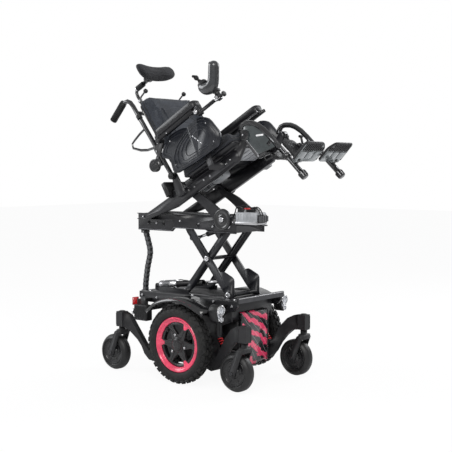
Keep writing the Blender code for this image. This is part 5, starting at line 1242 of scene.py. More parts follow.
def actuatorDetails():
    facts, crank, turn = actuatorFacts, liftFacts["crank"], liftFacts["crankTurn"]
    pin = Vector(facts["pin"])
    target = Vector((liftFacts["front"] + crank * cos(turn), pin.y, liftFacts["base"] + crank * sin(turn)))
    ahead = (target - pin).normalized()
    place = chair @ frameOf(pin, ahead, (-ahead.z, 0, ahead.x))
    dress("lift_actuator", "motorSilver",
          [("framePaint", lambda c, n: c.x > facts["motorEnd"]), ("darkMetal", lambda c, n: c.x < facts["headEnd"])],
          place)
    ribs = Shape()
    for x in facts["ribs"]:
        ribs.lathe(facts["rib"], (x, 0, 0), (1, 0, 0), 36)
    ribs.lathe(facts["neck"], (facts["neckAt"], 0, 0), (1, 0, 0), 28)
    addPiece("lift_motor_ribs", ribs, "lift_motor", "steel", place=place)
    band = Shape().lathe(facts["band"], (facts["bandAt"], 0, 0), (1, 0, 0), 36)
    addPiece("lift_motor_band", band, "lift_motor", "darkGrey", place=place)
    lead = Shape().tube(curveThrough(facts["lead"], 8), 0.0022, 8)
    addPiece("lift_motor_lead", lead, "lift_motor", "cable", place=place)
    dress("lift_rod", "chrome")
    dress("lift_strut", "framePaint")
    dress("lift_strut_rod", "chrome")


def onPlatform(name, shape, material):
    addPiece(name, shape, "platform", material, place=chair)


platformFacts = {       # heights count from the platform's underside
    "low": frontHigh[1] - 0.037, "face": 0.0942, "edgeY": 0.0946,
    "bolts": ((-0.335, 0.058), (-0.255, 0.032), (-0.120, 0.046), (0.060, 0.030), (0.092, 0.056), (0.165, 0.052)),
    "edge": ((-0.360, 0.0035), (-0.170, 0.0035), (-0.155, 0.0165), (0.018, 0.0165), (0.040, 0.0075), (0.176, 0.0075)),
    "grille": {"x": (-0.3645, -0.3685), "y": (-0.060, 0.020), "z": (0.010, 0.060)},
    "bars": {"count": 5, "first": -0.052, "pitch": 0.016, "half": 0.003, "x": (-0.3715, -0.3675),
             "z": (0.016, 0.054)},
}


def platformDetails():
    facts, grille, bars, low = platformFacts, platformFacts["grille"], platformFacts["bars"], platformFacts["low"]
    dress("seat_platform", "framePaint", [("scissorPaint", lambda c, n: n.z > 0.9)])
    spots, edges = [], Shape()
    for _, side in sides:
        spots += [((x, side * facts["face"], low + up), (0, side, 0)) for x, up in facts["bolts"]]
        edges.tube([(x, side * facts["edgeY"], low + up) for x, up in facts["edge"]], 0.0018, 8)
    screws("platform_bolts", spots, 0.0050, "platform")
    onPlatform("platform_edges", edges, "darkMetal")
    made = Shape().box(*((grille["x"][i], grille["y"][i], low + grille["z"][i]) for i in range(2)), 0.0012)
    for i in range(bars["count"]):
        y = bars["first"] + i * bars["pitch"]
        made.box((bars["x"][0], y - bars["half"], low + bars["z"][0]),
                 (bars["x"][1], y + bars["half"], low + bars["z"][1]), 0.0010)
    onPlatform("platform_rear_grille", made, "blackPlastic")


moduleFacts = {
    "low": platformFacts["low"] + 0.043, "tall": 0.050, "redPlug": {"x": (0.190, 0.224), "y": -0.075},
    "front": 0.2905,
    "tray": {"x": (0.1815, 0.2905), "y": (-0.1032, -0.0338), "up": (0.001, 0.0115)},
    "fins": {"count": 6, "first": 0.196, "pitch": 0.0150, "half": 0.0022, "y": (-0.1036, -0.1010),
             "up": (0.016, 0.043)},
    "plugs": {"count": 4, "first": -0.0910, "pitch": 0.0145, "half": 0.0048, "x": (0.2955, 0.3045),
              "up": (0.014, 0.036)},
    "red": {"x": (0.2015, 0.2190), "y": (-0.0700, -0.0480), "up": (0.0080, 0.0150)},
    # start y, how high it arches, where it ends; then y of the leads to the front plugs
    "leads": ((-0.088, 0.026, (0.150, -0.074)), (-0.064, 0.020, (0.146, -0.050)), (-0.054, 0.030, (0.152, -0.034))),
    "frontLeads": (-0.080, -0.066),
}


def moduleDetails():
    facts, tray, fins = moduleFacts, moduleFacts["tray"], moduleFacts["fins"]
    plugs, red, low = facts["plugs"], facts["red"], facts["low"]
    high = low + facts["tall"]
    redX, redY = facts["redPlug"]["x"], facts["redPlug"]["y"]
    dress("control_module", "greyPlastic",
          [("plugRed", lambda c, n: c.z > high + 0.0005 and redX[0] < c.x < redX[1] and c.y < redY),
           ("blackPlastic", lambda c, n: c.z > high + 0.0005),
           ("blackPlastic", lambda c, n: c.x > facts["front"])])
    onPlatform("module_tray",
               Shape().box(*((tray["x"][i], tray["y"][i], low + tray["up"][i]) for i in range(2)), 0.0030),
               "motorSilver")
    made = Shape()
    for i in range(fins["count"]):
        x = fins["first"] + i * fins["pitch"]
        made.box((x - fins["half"], fins["y"][0], low + fins["up"][0]),
                 (x + fins["half"], fins["y"][1], low + fins["up"][1]), 0.0010)
    onPlatform("module_fins", made, "greyPlastic")
    made = Shape()
    for i in range(plugs["count"]):
        y = plugs["first"] + i * plugs["pitch"]
        made.box((plugs["x"][0], y - plugs["half"], low + plugs["up"][0]),
                 (plugs["x"][1], y + plugs["half"], low + plugs["up"][1]), 0.0014)
    onPlatform("module_plugs", made, "darkGrey")
    onPlatform("module_plug_red",
               Shape().box(*((red["x"][i], red["y"][i], high + red["up"][i]) for i in range(2)), 0.0020),
               "plugRed")
    leads = Shape()
    for y, lift, (endX, endY) in facts["leads"]:
        leads.tube(curveThrough([(0.207, y, high + 0.010), (0.200, y, high + lift * 0.8),
                                 (0.180, y, high + lift * 0.7), (0.160, endY, high - 0.004),
                                 (endX, endY, high - 0.020)], 8), 0.0024, 8)
    for y in facts["frontLeads"]:
        leads.tube(curveThrough([(0.250, y, high + 0.009), (0.262, y, high + 0.020), (0.284, y - 0.004, high + 0.012),
                                 (0.300, y - 0.005, high - 0.012), (0.3005, y - 0.005, low + 0.034)], 8), 0.0023, 8)
    onPlatform("module_leads", leads, "cable")


hubFacts = {        # body, finish, face, profile
    "tilt_hub_discs": ("links", "tubePaint", 0.1043,
                       [(0.0140, 0), (0.0400, 0), (0.0418, 0.0004), (0.0405, 0.0010), (0.0330, 0.0012),
                        (0.0315, 0.0004), (0.0180, 0.0004), (0.0165, 0.0012), (0.0140, 0.0012)]),
    "tilt_hub_bolts": ("platform", "steel", 0.1055,
                       [(0, -0.001), (0.0112, -0.001), (0.0112, 0.0036), (0.0098, 0.0048), (0.0055, 0.0048),
                        (0.0045, 0.0026), (0, 0.0026)]),
}
tiltPin = (0.115, frontHigh[1] + 0.0226)


def linkDetails():
    dress("tilt_links", "framePaint")
    for name, (body, material, face, profile) in hubFacts.items():
        made = Shape()
        for _, side in sides:
            made.lathe(profile, (tiltPin[0], side * face, tiltPin[1]), (0, side, 0), 40)
        addPiece(name, made, body, material, place=chair)


liftDetails()
actuatorDetails()
platformDetails()
moduleDetails()
linkDetails()
print("lift ready")




# Soft goods

def applied(made):
    graph = bpy.context.evaluated_depsgraph_get()
    graph.update()
    mesh = bpy.data.meshes.new_from_object(made.evaluated_get(graph))
    made.modifiers.clear()
    made.data = mesh
    return mesh


def skinOf(made):
    bm = bmesh.new()
    bm.from_mesh(made.data)
    skin = BVHTree.FromBMesh(bm)
    bm.free()
    return skin


clothFacts = {"mass": 0.3, "quality": 4, "frames": 20, "heldInset": 0.15}


def plump(mesh, facts, held):
    # Remesh, draw in, blow up as cloth with the held points pinned, cap the travel, subdivide once
    made = bpy.data.objects.new("Plump", mesh)
    scene.collection.objects.link(made)
    remesh = made.modifiers.new("Remesh", "REMESH")
    remesh.mode = "VOXEL"
    remesh.voxel_size = facts["voxel"]
    mesh = applied(made)
    even = made.modifiers.new("Even", "SMOOTH")
    even.iterations = facts["smooth"]
    mesh = applied(made)
    pinned = [held(v.co) for v in mesh.vertices]
    for vertex, fixed in zip(mesh.vertices, pinned):
        vertex.co -= vertex.normal * facts["inset"] * (clothFacts["heldInset"] if fixed else 1.0)
    start = [v.co.copy() for v in mesh.vertices]
    group = made.vertex_groups.new(name="held")
    group.add([i for i, fixed in enumerate(pinned) if fixed], 1.0, "REPLACE")
    cloth = made.modifiers.new("Cloth", "CLOTH")
    cloth.settings.use_pressure = True
    cloth.settings.uniform_pressure_force = facts["pressure"]
    cloth.settings.effector_weights.gravity = 0
    cloth.settings.mass = clothFacts["mass"]
    cloth.settings.quality = clothFacts["quality"]
    cloth.settings.tension_stiffness = facts["stiffness"]
    cloth.settings.compression_stiffness = facts["stiffness"]
    cloth.settings.vertex_group_mass = "held"
    cloth.point_cache.frame_start, cloth.point_cache.frame_end = 1, clothFacts["frames"]
    for moment in range(1, clothFacts["frames"] + 1):
        scene.frame_set(moment)
    mesh = applied(made)
    scene.frame_set(1)
    for vertex, before in zip(mesh.vertices, start):
        step = vertex.co - before
        if step.length > facts["cap"]:
            vertex.co = before + step * (facts["cap"] / step.length)
    soften = made.modifiers.new("Soften", "SUBSURF")
    soften.levels = soften.render_levels = 1
    mesh = applied(made)
    bpy.data.objects.remove(made, do_unlink=True)
    return mesh


def pressed(mesh, depthAt):
    # Sewn channels: each point sinks along its normal by what depthAt says
    moves = [vertex.normal * -depthAt(vertex.co, vertex.normal) for vertex in mesh.vertices]
    for vertex, move in zip(mesh.vertices, moves):
        vertex.co += move
    return mesh


def groove(distance, depth, width):
    return depth * exp(-(distance / width) ** 2)


def clamped(mesh, rule):
    for vertex in mesh.vertices:
        vertex.co = rule(vertex.co)
    return mesh


def stitches(name, pad, lines, body, pitch=0.0042):
    # Short thread runs laid on a pad's surface along lines given in world places
    skin = skinOf(pad)
    spots = []
    for line in lines:
        points = [Vector(p) for p in line]
        walk, left = [], 0.0
        for start, end in zip(points, points[1:]):
            length = (end - start).length
            spot = left
            while spot < length:
                walk.append(start.lerp(end, spot / length))
                spot += pitch
            left = spot - length
        for before, after in zip(walk, walk[1:]):
            place, normal, _, _ = skin.find_nearest((before + after) / 2)
            spots.append((place + normal * 0.0001, normal, (after - before).normalized()))
    thread = Shape()
    thread.ball((0, 0, 0), 0.00045, 3, (3.2, 1, 0.8))
    values = {"Finish": finish["thread"], "Size": 1.0, "Size wobble": 0.06}
    addPiece(name, grow("points", pointHolder(spots), values, thread.mesh()), body, None)


def evenSteps(outline, pitch=0.006):
    fine = []
    for a, b in zip(outline, outline[1:] + outline[:1]):
        count = max(1, int(hypot(b[0] - a[0], b[1] - a[1]) / pitch))
        fine += [(a[0] + (b[0] - a[0]) * i / count, a[1] + (b[1] - a[1]) * i / count) for i in range(count)]
    return fine


def piping(name, pad, line, body):
    # A welt, sunk a little, that follows a closed line on the pad's surface
    skin = skinOf(pad)
    path = []
    for point in line:
        place, normal, _, _ = skin.find_nearest(Vector(point))
        path.append(place - normal * 0.0002)
    for _ in range(3):
        path = [(path[i - 1] + path[i] * 2 + path[(i + 1) % len(path)]) / 4 for i in range(len(path))]
    addPiece(name, Shape().tube(path, 0.0019, 8, closed=True), body, "vinyl")


def softPiece(name, mesh, place, body, material, replaced):
    mesh.transform(place)
    made = addPiece(name, mesh, body, material, replaced, 180)
    return made


def localCopy(node, place):
    mesh = copyOf(node)
    mesh.transform(place.inverted())
    return mesh


seatFacts = {
    "voxel": 0.0052, "smooth": 4, "inset": 0.0045, "pressure": 4.0, "cap": 0.008, "stiffness": 12.0,
    "held": 0.0165, "seam": {"n": 0.030, "low": 0.02, "depth": 0.0011, "width": 0.0028},
    "channel": {"y": 0.098, "from": 0.055, "to": 0.345, "rear": 0.152, "front": 0.262, "width": 0.0040},
    "box": {"rear": 0.0455, "front": 0.3735, "corner": 0.3495, "cornerY": 0.096, "y": 0.1595, "n": 0.0121},
    "stitchY": (-0.1005, -0.0955, 0.0955, 0.1005), "stitchS": (0.1545, 0.1495, 0.2595, 0.2645), "stitchN": 0.075,
    "welt": [(0.045, -0.158), (0.348, -0.158), (0.3495, 0.158), (0.045, 0.158)],
}


def seatCushion():
    facts, seam, channel, box = seatFacts, seatFacts["seam"], seatFacts["channel"], seatFacts["box"]
    mesh = plump(localCopy("seat_cushion", seatFrame), facts, lambda p: p.z < facts["held"])

    def depth(p, normal):
        if normal.z < 0.25:
            return groove(abs(p.z - seam["n"]), seam["depth"], seam["width"]) if p.z > seam["low"] else 0.0
        along, across = channel["from"] < p.x < channel["to"], abs(p.y) < channel["y"]
        side = groove(abs(abs(p.y) - channel["y"]), 0.0022, channel["width"]) if along else 0.0
        rear = groove(abs(p.x - channel["rear"]), 0.0018, channel["width"]) if across else 0.0
        front = groove(abs(p.x - channel["front"]), 0.0018, channel["width"]) if across else 0.0
        return max(side, rear, front)

    def keep(p):
        front = box["corner"] if abs(p.y) > box["cornerY"] else box["front"]
        return (min(max(p.x, box["rear"]), front), min(max(p.y, -box["y"]), box["y"]), max(p.z, box["n"]))

    clamped(pressed(mesh, depth), keep)
    pad = softPiece("seat_cushion_cover", mesh, seatFrame, "seat", "seatFabric", ("seat_cushion",))
    lines = [[(s / 100, y) for s in range(7, 34)] for y in facts["stitchY"]]
    lines += [[(s, y / 100) for y in range(-9, 10)] for s in facts["stitchS"]]
    lines = [[seatFrame @ Vector((s, y, facts["stitchN"])) for s, y in line] for line in lines]
    stitches("seat_cushion_stitches", pad, lines, "seat")
    welt = evenSteps(roundLoop(facts["welt"], 0.024, 6))
    piping("seat_cushion_welt", pad, [seatFrame @ Vector((s, y, seam["n"])) for s, y in welt], "seat")


backPadFacts = {
    "voxel": 0.0052, "smooth": 4, "inset": 0.005, "pressure": 4.0, "cap": 0.009, "stiffness": 12.0,
    "held": 0.019, "seam": {"u": 0.030, "low": 0.022, "depth": 0.0010, "width": 0.0028},
    "rings": (0.070, 0.112, 0.154, 0.198, 0.242), "eye": 0.120, "wide": 0.86, "tall": 1.02, "ringWidth": 0.0036,
    "side": {"y": 0.100, "v": (0.085, 0.30)}, "box": {"u": 0.0150, "y": 0.1635, "v": (0.0225, 0.3915)},
    "stitch": {"gap": 0.0024, "y": 0.150, "v": (0.034, 0.380), "u": 0.085, "steps": 120},
    "welt": [(-0.160, 0.024), (0.160, 0.024), (0.145, 0.388), (-0.145, 0.388)],
}


def ringLines():
    # Two rows of stitches beside each ring, cut where they would leave the cushion
    facts, stitch = backPadFacts, backPadFacts["stitch"]
    lines = []
    for ring in facts["rings"]:
        for offset in (-stitch["gap"], stitch["gap"]):
            line = []
            for i in range(stitch["steps"] + 1):
                turn = 2 * pi * i / stitch["steps"]
                y = facts["wide"] * (ring + offset) * cos(turn)
                v = facts["eye"] + facts["tall"] * (ring + offset) * sin(turn)
                if abs(y) < stitch["y"] and stitch["v"][0] < v < stitch["v"][1]:
                    line.append(backFrame @ Vector((stitch["u"], y, v)))
                else:
                    lines.append(line)
                    line = []
            lines.append(line)
    return [line for line in lines if len(line) > 1]


def backCushion():
    facts, seam, border, box = backPadFacts, backPadFacts["seam"], backPadFacts["side"], backPadFacts["box"]
    mesh = plump(localCopy("back_cushion", backFrame), facts, lambda p: p.x < facts["held"])

    def depth(p, normal):
        if normal.x < 0.25:
            return groove(abs(p.x - seam["u"]), seam["depth"], seam["width"]) if p.x > seam["low"] else 0.0
        out = hypot(p.y / facts["wide"], (p.z - facts["eye"]) / facts["tall"])
        rings = max(groove(abs(out - ring), 0.0016, facts["ringWidth"]) for ring in facts["rings"])
        beside = border["v"][0] < p.z < border["v"][1]
        return max(rings, groove(abs(abs(p.y) - border["y"]), 0.0020, 0.0040) if beside else 0.0)

    def keep(p):
        low, high = box["v"]
        return (max(p.x, box["u"]), min(max(p.y, -box["y"]), box["y"]), min(max(p.z, low), high))

    clamped(pressed(mesh, depth), keep)
    pad = softPiece("back_cushion_cover", mesh, backFrame, "back", "cushionFabric", ("back_cushion",))
    stitches("back_cushion_stitches", pad, ringLines(), "back", 0.005)
    welt = evenSteps(roundLoop(facts["welt"], 0.037, 8))
    piping("back_cushion_welt", pad, [backFrame @ Vector((seam["u"], y, v)) for y, v in welt], "back")


headFacts = {
    "voxel": 0.0046, "smooth": 3, "inset": 0.003, "pressure": 4.0, "cap": 0.006, "stiffness": 14.0,
    "hinge": (0.014, 0.520), "steps": 22, "ring": 28, "wrap": 1.47, "bow": 0.035, "ahead": 0.076, "span": 0.105,
    "tall": (0.0395, 0.0085), "deep": (0.0225, 0.0025), "seams": ((-0.020, 0.0011, 0.0024), (0.0245, 0.0007, 0.0022)),
    "ears": (-0.0205, 0.0125), "stitch": {"v": (-0.0172, -0.0228), "wrap": 1.36, "ahead": 0.096, "span": 0.100},
}


def headShape():
    # A pad curved round the head, thinner and lower towards its ends
    facts, (hu, hv) = headFacts, headFacts["hinge"]
    bm = bmesh.new()
    laid = []
    for i in range(facts["steps"] + 1):
        share = i / facts["steps"] * 2 - 1
        t = share * facts["wrap"]
        fade = 0.25 + 0.75 * sqrt(max(0.0, 1 - abs(share) ** 5))
        wing = (abs(t) / facts["wrap"]) ** 2
        tall, deep = ((full - less * wing) * fade for full, less in (facts["tall"], facts["deep"]))
        out = Vector((-cos(t), sin(t) * 0.65, 0)).normalized()
        middle = Vector((hu + facts["ahead"] - facts["bow"] * cos(t), facts["span"] * sin(t),
                         hv - 0.003 + 0.004 * wing))
        ring = []
        for k in range(facts["ring"]):
            a = 2 * pi * k / facts["ring"]
            ca, sa = cos(a), sin(a)
            ring.append(bm.verts.new(middle + out * (deep * abs(ca) ** 0.75 * (1 if ca > 0 else -1))
                                     + Vector((0, 0, tall * abs(sa) ** 0.62 * (1 if sa > 0 else -1)))))
        laid.append(ring)
    for low, high in zip(laid, laid[1:]):
        for k in range(facts["ring"]):
            j = (k + 1) % facts["ring"]
            bm.faces.new((low[k], low[j], high[j], high[k]))
    bm.faces.new(laid[0][::-1])
    bm.faces.new(laid[-1])
    return Shape().take(bm).mesh()


def headPad():
    facts, (hu, hv) = headFacts, headFacts["hinge"]
    mesh = plump(headShape(), facts, lambda p: False)
    seams = facts["seams"]
    pressed(mesh, lambda p, normal: sum(groove(abs(p.z - (hv + v)), depth, width) for v, depth, width in seams))
    pad = softPiece("headrest_pad_cover", mesh, backFrame, "headrest_cushion", "headFabric", ("headrest_pad",))
    bracket = Shape()
    for low in facts["ears"]:
        ear = belt((hu, hv, 0.0095), (hu + 0.030, hv - 0.003, 0.013), steps=20)
        bracket.plate(ear, low, low + 0.008, rounding=0.0012)
    low, high = hv - 0.018, hv + 0.012
    plate = roundLoop([(-0.030, low), (0.030, low), (0.030, high), (-0.030, high)], 0.008, 4)
    bracket.plate(plate, hu + 0.018, hu + 0.0215, "X", 0.0008)
    addPiece("headrest_bracket", bracket, "headrest_cushion", "framePaint", place=backFrame)
    lines, stitch = [], facts["stitch"]
    for v in stitch["v"]:
        turns = [(i / 60 * 2 - 1) * stitch["wrap"] for i in range(61)]
        lines.append([backFrame @ Vector((hu + stitch["ahead"] - facts["bow"] * cos(t), stitch["span"] * sin(t),
                                          hv + v))
                      for t in turns])
    stitches("headrest_stitches", pad, lines, "headrest_cushion", 0.0045)


calfFacts = {
    "voxel": 0.0046, "smooth": 3, "inset": 0.0025, "pressure": 4.0, "cap": 0.005, "stiffness": 14.0,
    "hinge": (0.052, -0.110), "y": (0.100, 0.010), "half": 0.058, "a": (0.0135, 0.0365), "ears": (0.025, 0.045),
    "plate": {"y": (0.018, 0.060), "half": 0.026, "a": (0.0345, 0.0385)}, "screws": {"y": (0.024, 0.054), "b": 0.019},
}


def calfPad(suffix, side):
    facts, place, body = calfFacts, legFrame(side), "calf_" + suffix
    (a, b), half = facts["hinge"], facts["half"]
    inner, outer = (-side * y for y in facts["y"])
    outline = roundLoop([(inner, b - half), (outer, b - half), (outer, b + half), (inner, b + half)], 0.026, 6)
    mesh = plump(Shape().plate(outline, *facts["a"], "X", 0.008, 3).mesh(), facts, lambda p: False)
    middle = (inner + outer) / 2

    def depth(p, normal):
        ring = max(abs(p.y - middle) / 0.045, abs(p.z - b) / half)
        return groove(abs(ring - 0.72) * 0.05, 0.0011, 0.0022) if normal.x < -0.2 else 0.0

    softPiece("calf_pad_cover_" + suffix, pressed(mesh, depth), place, body, "vinyl", ("calf_pad_" + suffix,))
    bracket, plate = Shape(), facts["plate"]
    for y in facts["ears"]:
        ear = belt((a, b, 0.0088), (0.036, b + 0.010, 0.006), (0.036, b - 0.010, 0.006), steps=16)
        bracket.plate(ear, -side * y, -side * (y + 0.007), rounding=0.001)
    (near, far), low, high = plate["y"], b - plate["half"], b + plate["half"]
    loop = [(-side * near, low), (-side * far, low), (-side * far, high), (-side * near, high)]
    bracket.plate(roundLoop(loop, 0.006, 4), *plate["a"], "X", 0.0008)
    addPiece("calf_bracket_" + suffix, bracket, body, "framePaint", place=place)
    bolts = facts["screws"]
    spots = [((plate["a"][1], -side * y, b + way * bolts["b"]), (1, 0, 0)) for y in bolts["y"] for way in (-1, 1)]
    screws("calf_bracket_screws_" + suffix, spots, 0.0026, body, "darkMetal", place=place)


armPadFacts = {
    "voxel": 0.0042, "smooth": 3, "inset": 0.0010, "pressure": 3.0, "cap": 0.0030, "stiffness": 16.0,
    "hinge": (0.050, 0.190), "s": (0.0645, 0.3018), "y": (0.1705, 0.2295), "up": (0.0050, 0.0362), "held": 0.0075,
    "seam": 0.0125,
}


def armPad(suffix, side):
    facts, hn = armPadFacts, armPadFacts["hinge"][1]
    (rear, front), (near, far) = facts["s"], facts["y"]
    corners = [(rear, side * near), (front, side * near), (front, side * far), (rear, side * far)]
    outline = roundLoop(corners, 0.025, 8)
    start = Shape().plate(outline, hn + facts["up"][0], hn + facts["up"][1], "Z", 0.0100, 3)
    mesh = plump(start.mesh(), facts, lambda p: p.z < hn + facts["held"])
    seam = hn + facts["seam"]
    pressed(mesh, lambda p, normal: groove(abs(p.z - seam), 0.0009, 0.0020) if abs(normal.z) < 0.7 else 0.0)
    softPiece("arm_pad_" + suffix, mesh, seatFrame, "armrest_" + suffix, "vinyl", ())


seatCushion()
backCushion()
headPad()
for suffix, side in sides:
    calfPad(suffix, side)
    armPad(suffix, side)
print("soft goods ready")


# Seat, back, arm and leg details, drawn in their own frames

def blended(shape, voxel, rounds):
    # Solids melted into one moulded skin
    made = bpy.data.objects.new("Blend", shape.mesh())
    scene.collection.objects.link(made)
    remesh = made.modifiers.new("Remesh", "REMESH")
    remesh.mode = "VOXEL"
    remesh.voxel_size = voxel
    even = made.modifiers.new("Even", "SMOOTH")
    even.factor = 0.6
    even.iterations = rounds
    mesh = applied(made)
    bpy.data.objects.remove(made, do_unlink=True)
    return mesh


def scaledLoop(points, centre, factor):
    return [(centre[0] + (p[0] - centre[0]) * factor, centre[1] + (p[1] - centre[1]) * factor) for p in points]


def onSeat(name, shape, material):
    addPiece(name, shape, "seat", material, place=seatFrame)


guardFacts = {
    "lower": [(0.054, 0.028), (0.062, 0.089), (0.110, 0.128), (0.213, 0.160), (0.285, 0.158), (0.318, 0.134),
              (0.342, 0.047), (0.314, 0.010), (0.180, 0.014)],
    "upper": [(0.021, 0.127), (0.046, 0.150), (0.072, 0.166), (0.122, 0.179), (0.180, 0.170), (0.215, 0.150),
              (0.160, 0.120), (0.070, 0.085)],
    # outline, its centre, corner radius, corner steps, face, bead radius, shares of the outline
    "rings": (("lower", (0.236, 0.078), 0.030, 7, 0.2012, 0.0012, (0.88, 0.76, 0.62, 0.47)),
              ("upper", (0.105, 0.133), 0.012, 5, 0.1972, 0.0010, (0.84, 0.62))),
    "slots": {"count": 4, "first": (0.214, 0.112), "step": (0.0085, -0.0150), "run": (0.0035, -0.0062),
              "radius": 0.0024, "face": (0.2010, 0.0011)},
    "screws": ((0.098, 0.1974, 0.158), (0.080, 0.2012, 0.058), (0.300, 0.2012, 0.120), (0.300, 0.2012, 0.036)),
}


def guardDetails(suffix, side):
    facts, slot = guardFacts, guardFacts["slots"]
    dress("side_guard_" + suffix, "guardPlastic")
    ribs, slots = Shape(), Shape()
    for outline, centre, corner, steps, face, radius, shares in facts["rings"]:
        for share in shares:
            loop = roundLoop(scaledLoop(facts[outline], centre, share), corner * share, steps)
            ribs.tube([(s, side * face, n) for s, n in loop], radius, 8, closed=True)
    onSeat("guard_ribs_" + suffix, ribs, "guardPlastic")
    for i in range(slot["count"]):
        s, n = (slot["first"][k] + i * slot["step"][k] for k in range(2))
        strip = belt((s, n, slot["radius"]), (s + slot["run"][0], n + slot["run"][1], slot["radius"]), steps=14)
        face = side * slot["face"][0]
        slots.plate(strip, face, face + side * slot["face"][1], rounding=0.0003)
    onSeat("guard_slots_" + suffix, slots, "steel")
    spots = [((s, side * y, n), (0, side, 0)) for s, y, n in facts["screws"]]
    screws("guard_screws_" + suffix, spots, 0.0034, "seat", place=seatFrame)


railFacts = {
    "edges": {"n": (-0.0135, -0.0565), "s": (-0.050, 0.296), "y": 0.1222, "radius": 0.0017},
    "plate": ((0.150, 0.1216, -0.0510), (0.262, 0.1236, -0.0265)),
    "bolts": ((-0.020, 0.1224, -0.035), (0.062, 0.1224, -0.035), (0.120, 0.1224, -0.035), (0.280, 0.1224, -0.035),
              (0.158, 0.1240, -0.0388), (0.254, 0.1240, -0.0388)),
    "front": [(0.236, -0.094), (0.334, -0.094), (0.334, 0.094), (0.236, 0.094)], "frontN": (-0.0135, -0.0100),
    "frontRibs": {"y": (-0.070, -0.035, 0.0, 0.035, 0.070), "half": 0.004, "s": (0.246, 0.322),
                  "n": (-0.0165, -0.0130)},
}
driveFacts = {
    "motorEnd": 0.0925, "ribs": {"count": 6, "first": 0.104, "pitch": 0.0115, "half": 0.0018},
    "ribY": (-0.0545, -0.0515), "ribN": (-0.040, -0.016), "bands": (0.038, 0.046, 0.054, 0.078, 0.086),
    "band": [(0.0160, 0), (0.0176, 0.0005), (0.0176, 0.0024), (0.0160, 0.0029)], "axis": (-0.030, -0.0291),
    "screws": {"y": -0.0532, "s": (0.101, 0.163), "n": (-0.0175, -0.0385)},
}
caseRibs = {"count": 9, "first": -0.096, "pitch": 0.024, "half": 0.0065, "s": (-0.0940, -0.0915), "n": (0.018, 0.045)}


def railDetails():
    facts, edge, ribs = railFacts, railFacts["edges"], railFacts["frontRibs"]
    dress("seat_frame", "framePaint")
    dress("tilt_drive", "greyPlastic", [("darkMetal", lambda c, n: c.x < driveFacts["motorEnd"])], seatFrame)
    dress("rear_case", "blackPlastic")
    edges, plates, spots = Shape(), Shape(), []
    for _, side in sides:
        for n in edge["n"]:
            edges.tube([(s, side * edge["y"], n) for s in edge["s"]], edge["radius"], 8)
        plates.box(*((s, side * y, n) for s, y, n in facts["plate"]), 0.0008)
        spots += [((s, side * y, n), (0, side, 0)) for s, y, n in facts["bolts"]]
    onSeat("rail_edges", edges, "framePaint")
    onSeat("rail_plates", plates, "darkMetal")
    screws("rail_bolts", spots, 0.0046, "seat", place=seatFrame)
    front = Shape().plate(roundLoop(facts["front"], 0.008, 4), *facts["frontN"], "Z", 0.0008)
    for y in ribs["y"]:
        front.box((ribs["s"][0], y - ribs["half"], ribs["n"][0]), (ribs["s"][1], y + ribs["half"], ribs["n"][1]),
                  0.0012)
    onSeat("seat_front_plate", front, "greyPlastic")


def driveDetails():
    facts, row, bolts = driveFacts, driveFacts["ribs"], driveFacts["screws"]
    ribs = Shape()
    for i in range(row["count"]):
        x = row["first"] + i * row["pitch"]
        ribs.box((x - row["half"], facts["ribY"][0], facts["ribN"][0]),
                 (x + row["half"], facts["ribY"][1], facts["ribN"][1]), 0.0009)
    for x in facts["bands"]:
        ribs.lathe(facts["band"], (x, *facts["axis"]), (1, 0, 0), 28)
    onSeat("tilt_drive_ribs", ribs, "greyPlastic")
    spots = [((s, bolts["y"], n), (0, -1, 0)) for s in bolts["s"] for n in bolts["n"]]
    screws("tilt_drive_screws", spots, 0.0026, "seat", "darkMetal", place=seatFrame)
    vents = Shape()
    for i in range(caseRibs["count"]):
        y, half = caseRibs["first"] + i * caseRibs["pitch"], caseRibs["half"]
        vents.box((caseRibs["s"][0], y - half, caseRibs["n"][0]), (caseRibs["s"][1], y + half, caseRibs["n"][1]),
                  0.0011)
    onSeat("rear_case_ribs", vents, "blackPlastic")


def onBack(name, shape, body, material):
    addPiece(name, shape, body, material, place=backFrame)


def collar(inner, outer, length, lip=None, chamfer=0.0006):
    # A plain ring for a tube, chamfered at both ends
    return [(inner, 0), (outer, chamfer), (lip or outer, length - chamfer), (inner, length)]


backFacts = {
    "y": 0.175, "grip": {"rear": -0.0335, "low": 0.380, "y": 0.155}, "knob": {"u": 0.042, "v": 0.39},
    "handle": {"end": (-0.125, 0.397), "corner": (0.0, 0.422)},
    "ribs": {"count": 11, "first": 0.082, "pitch": 0.0082},
    "gripFoot": 0.0955, "caneCollar": 0.300,
    "discs": (((-0.050, 0.092), 0.0082, 0.0262), ((0.0, 0.0), 0.0104, 0.0138)),     # spot, out, radius
    "disc": [(0, 0), (1, 0), (1, 0.0016), (0.86, 0.0026), (0.80, 0.0014), (0.55, 0.0014), (0.50, 0.0030),
             (0, 0.0034)],
    "shellBolts": {"u": -0.0098, "y": 0.030, "v": (0.252, 0.288)}, "caneBolt": (0, 0.1868, 0.128),
}
neckFacts = {
    "sleeve": ((-0.0620, 0, 0.5300), (-0.0200, 0, 0.5228)), "ring": ((-0.0670, 0, 0.5309), (0.985, 0, -0.170)),
    "stemRing": (-0.081, 0, 0.470),
    "knob": ((-0.081, -0.014, 0.270), (-0.081, -0.024, 0.270), (-0.081, -0.022, 0.270)),
    "knobShape": [(0, 0.012), (0.0060, 0.012), (0.0090, 0.010), (0.0096, 0.004), (0.0080, 0), (0, 0)],
}


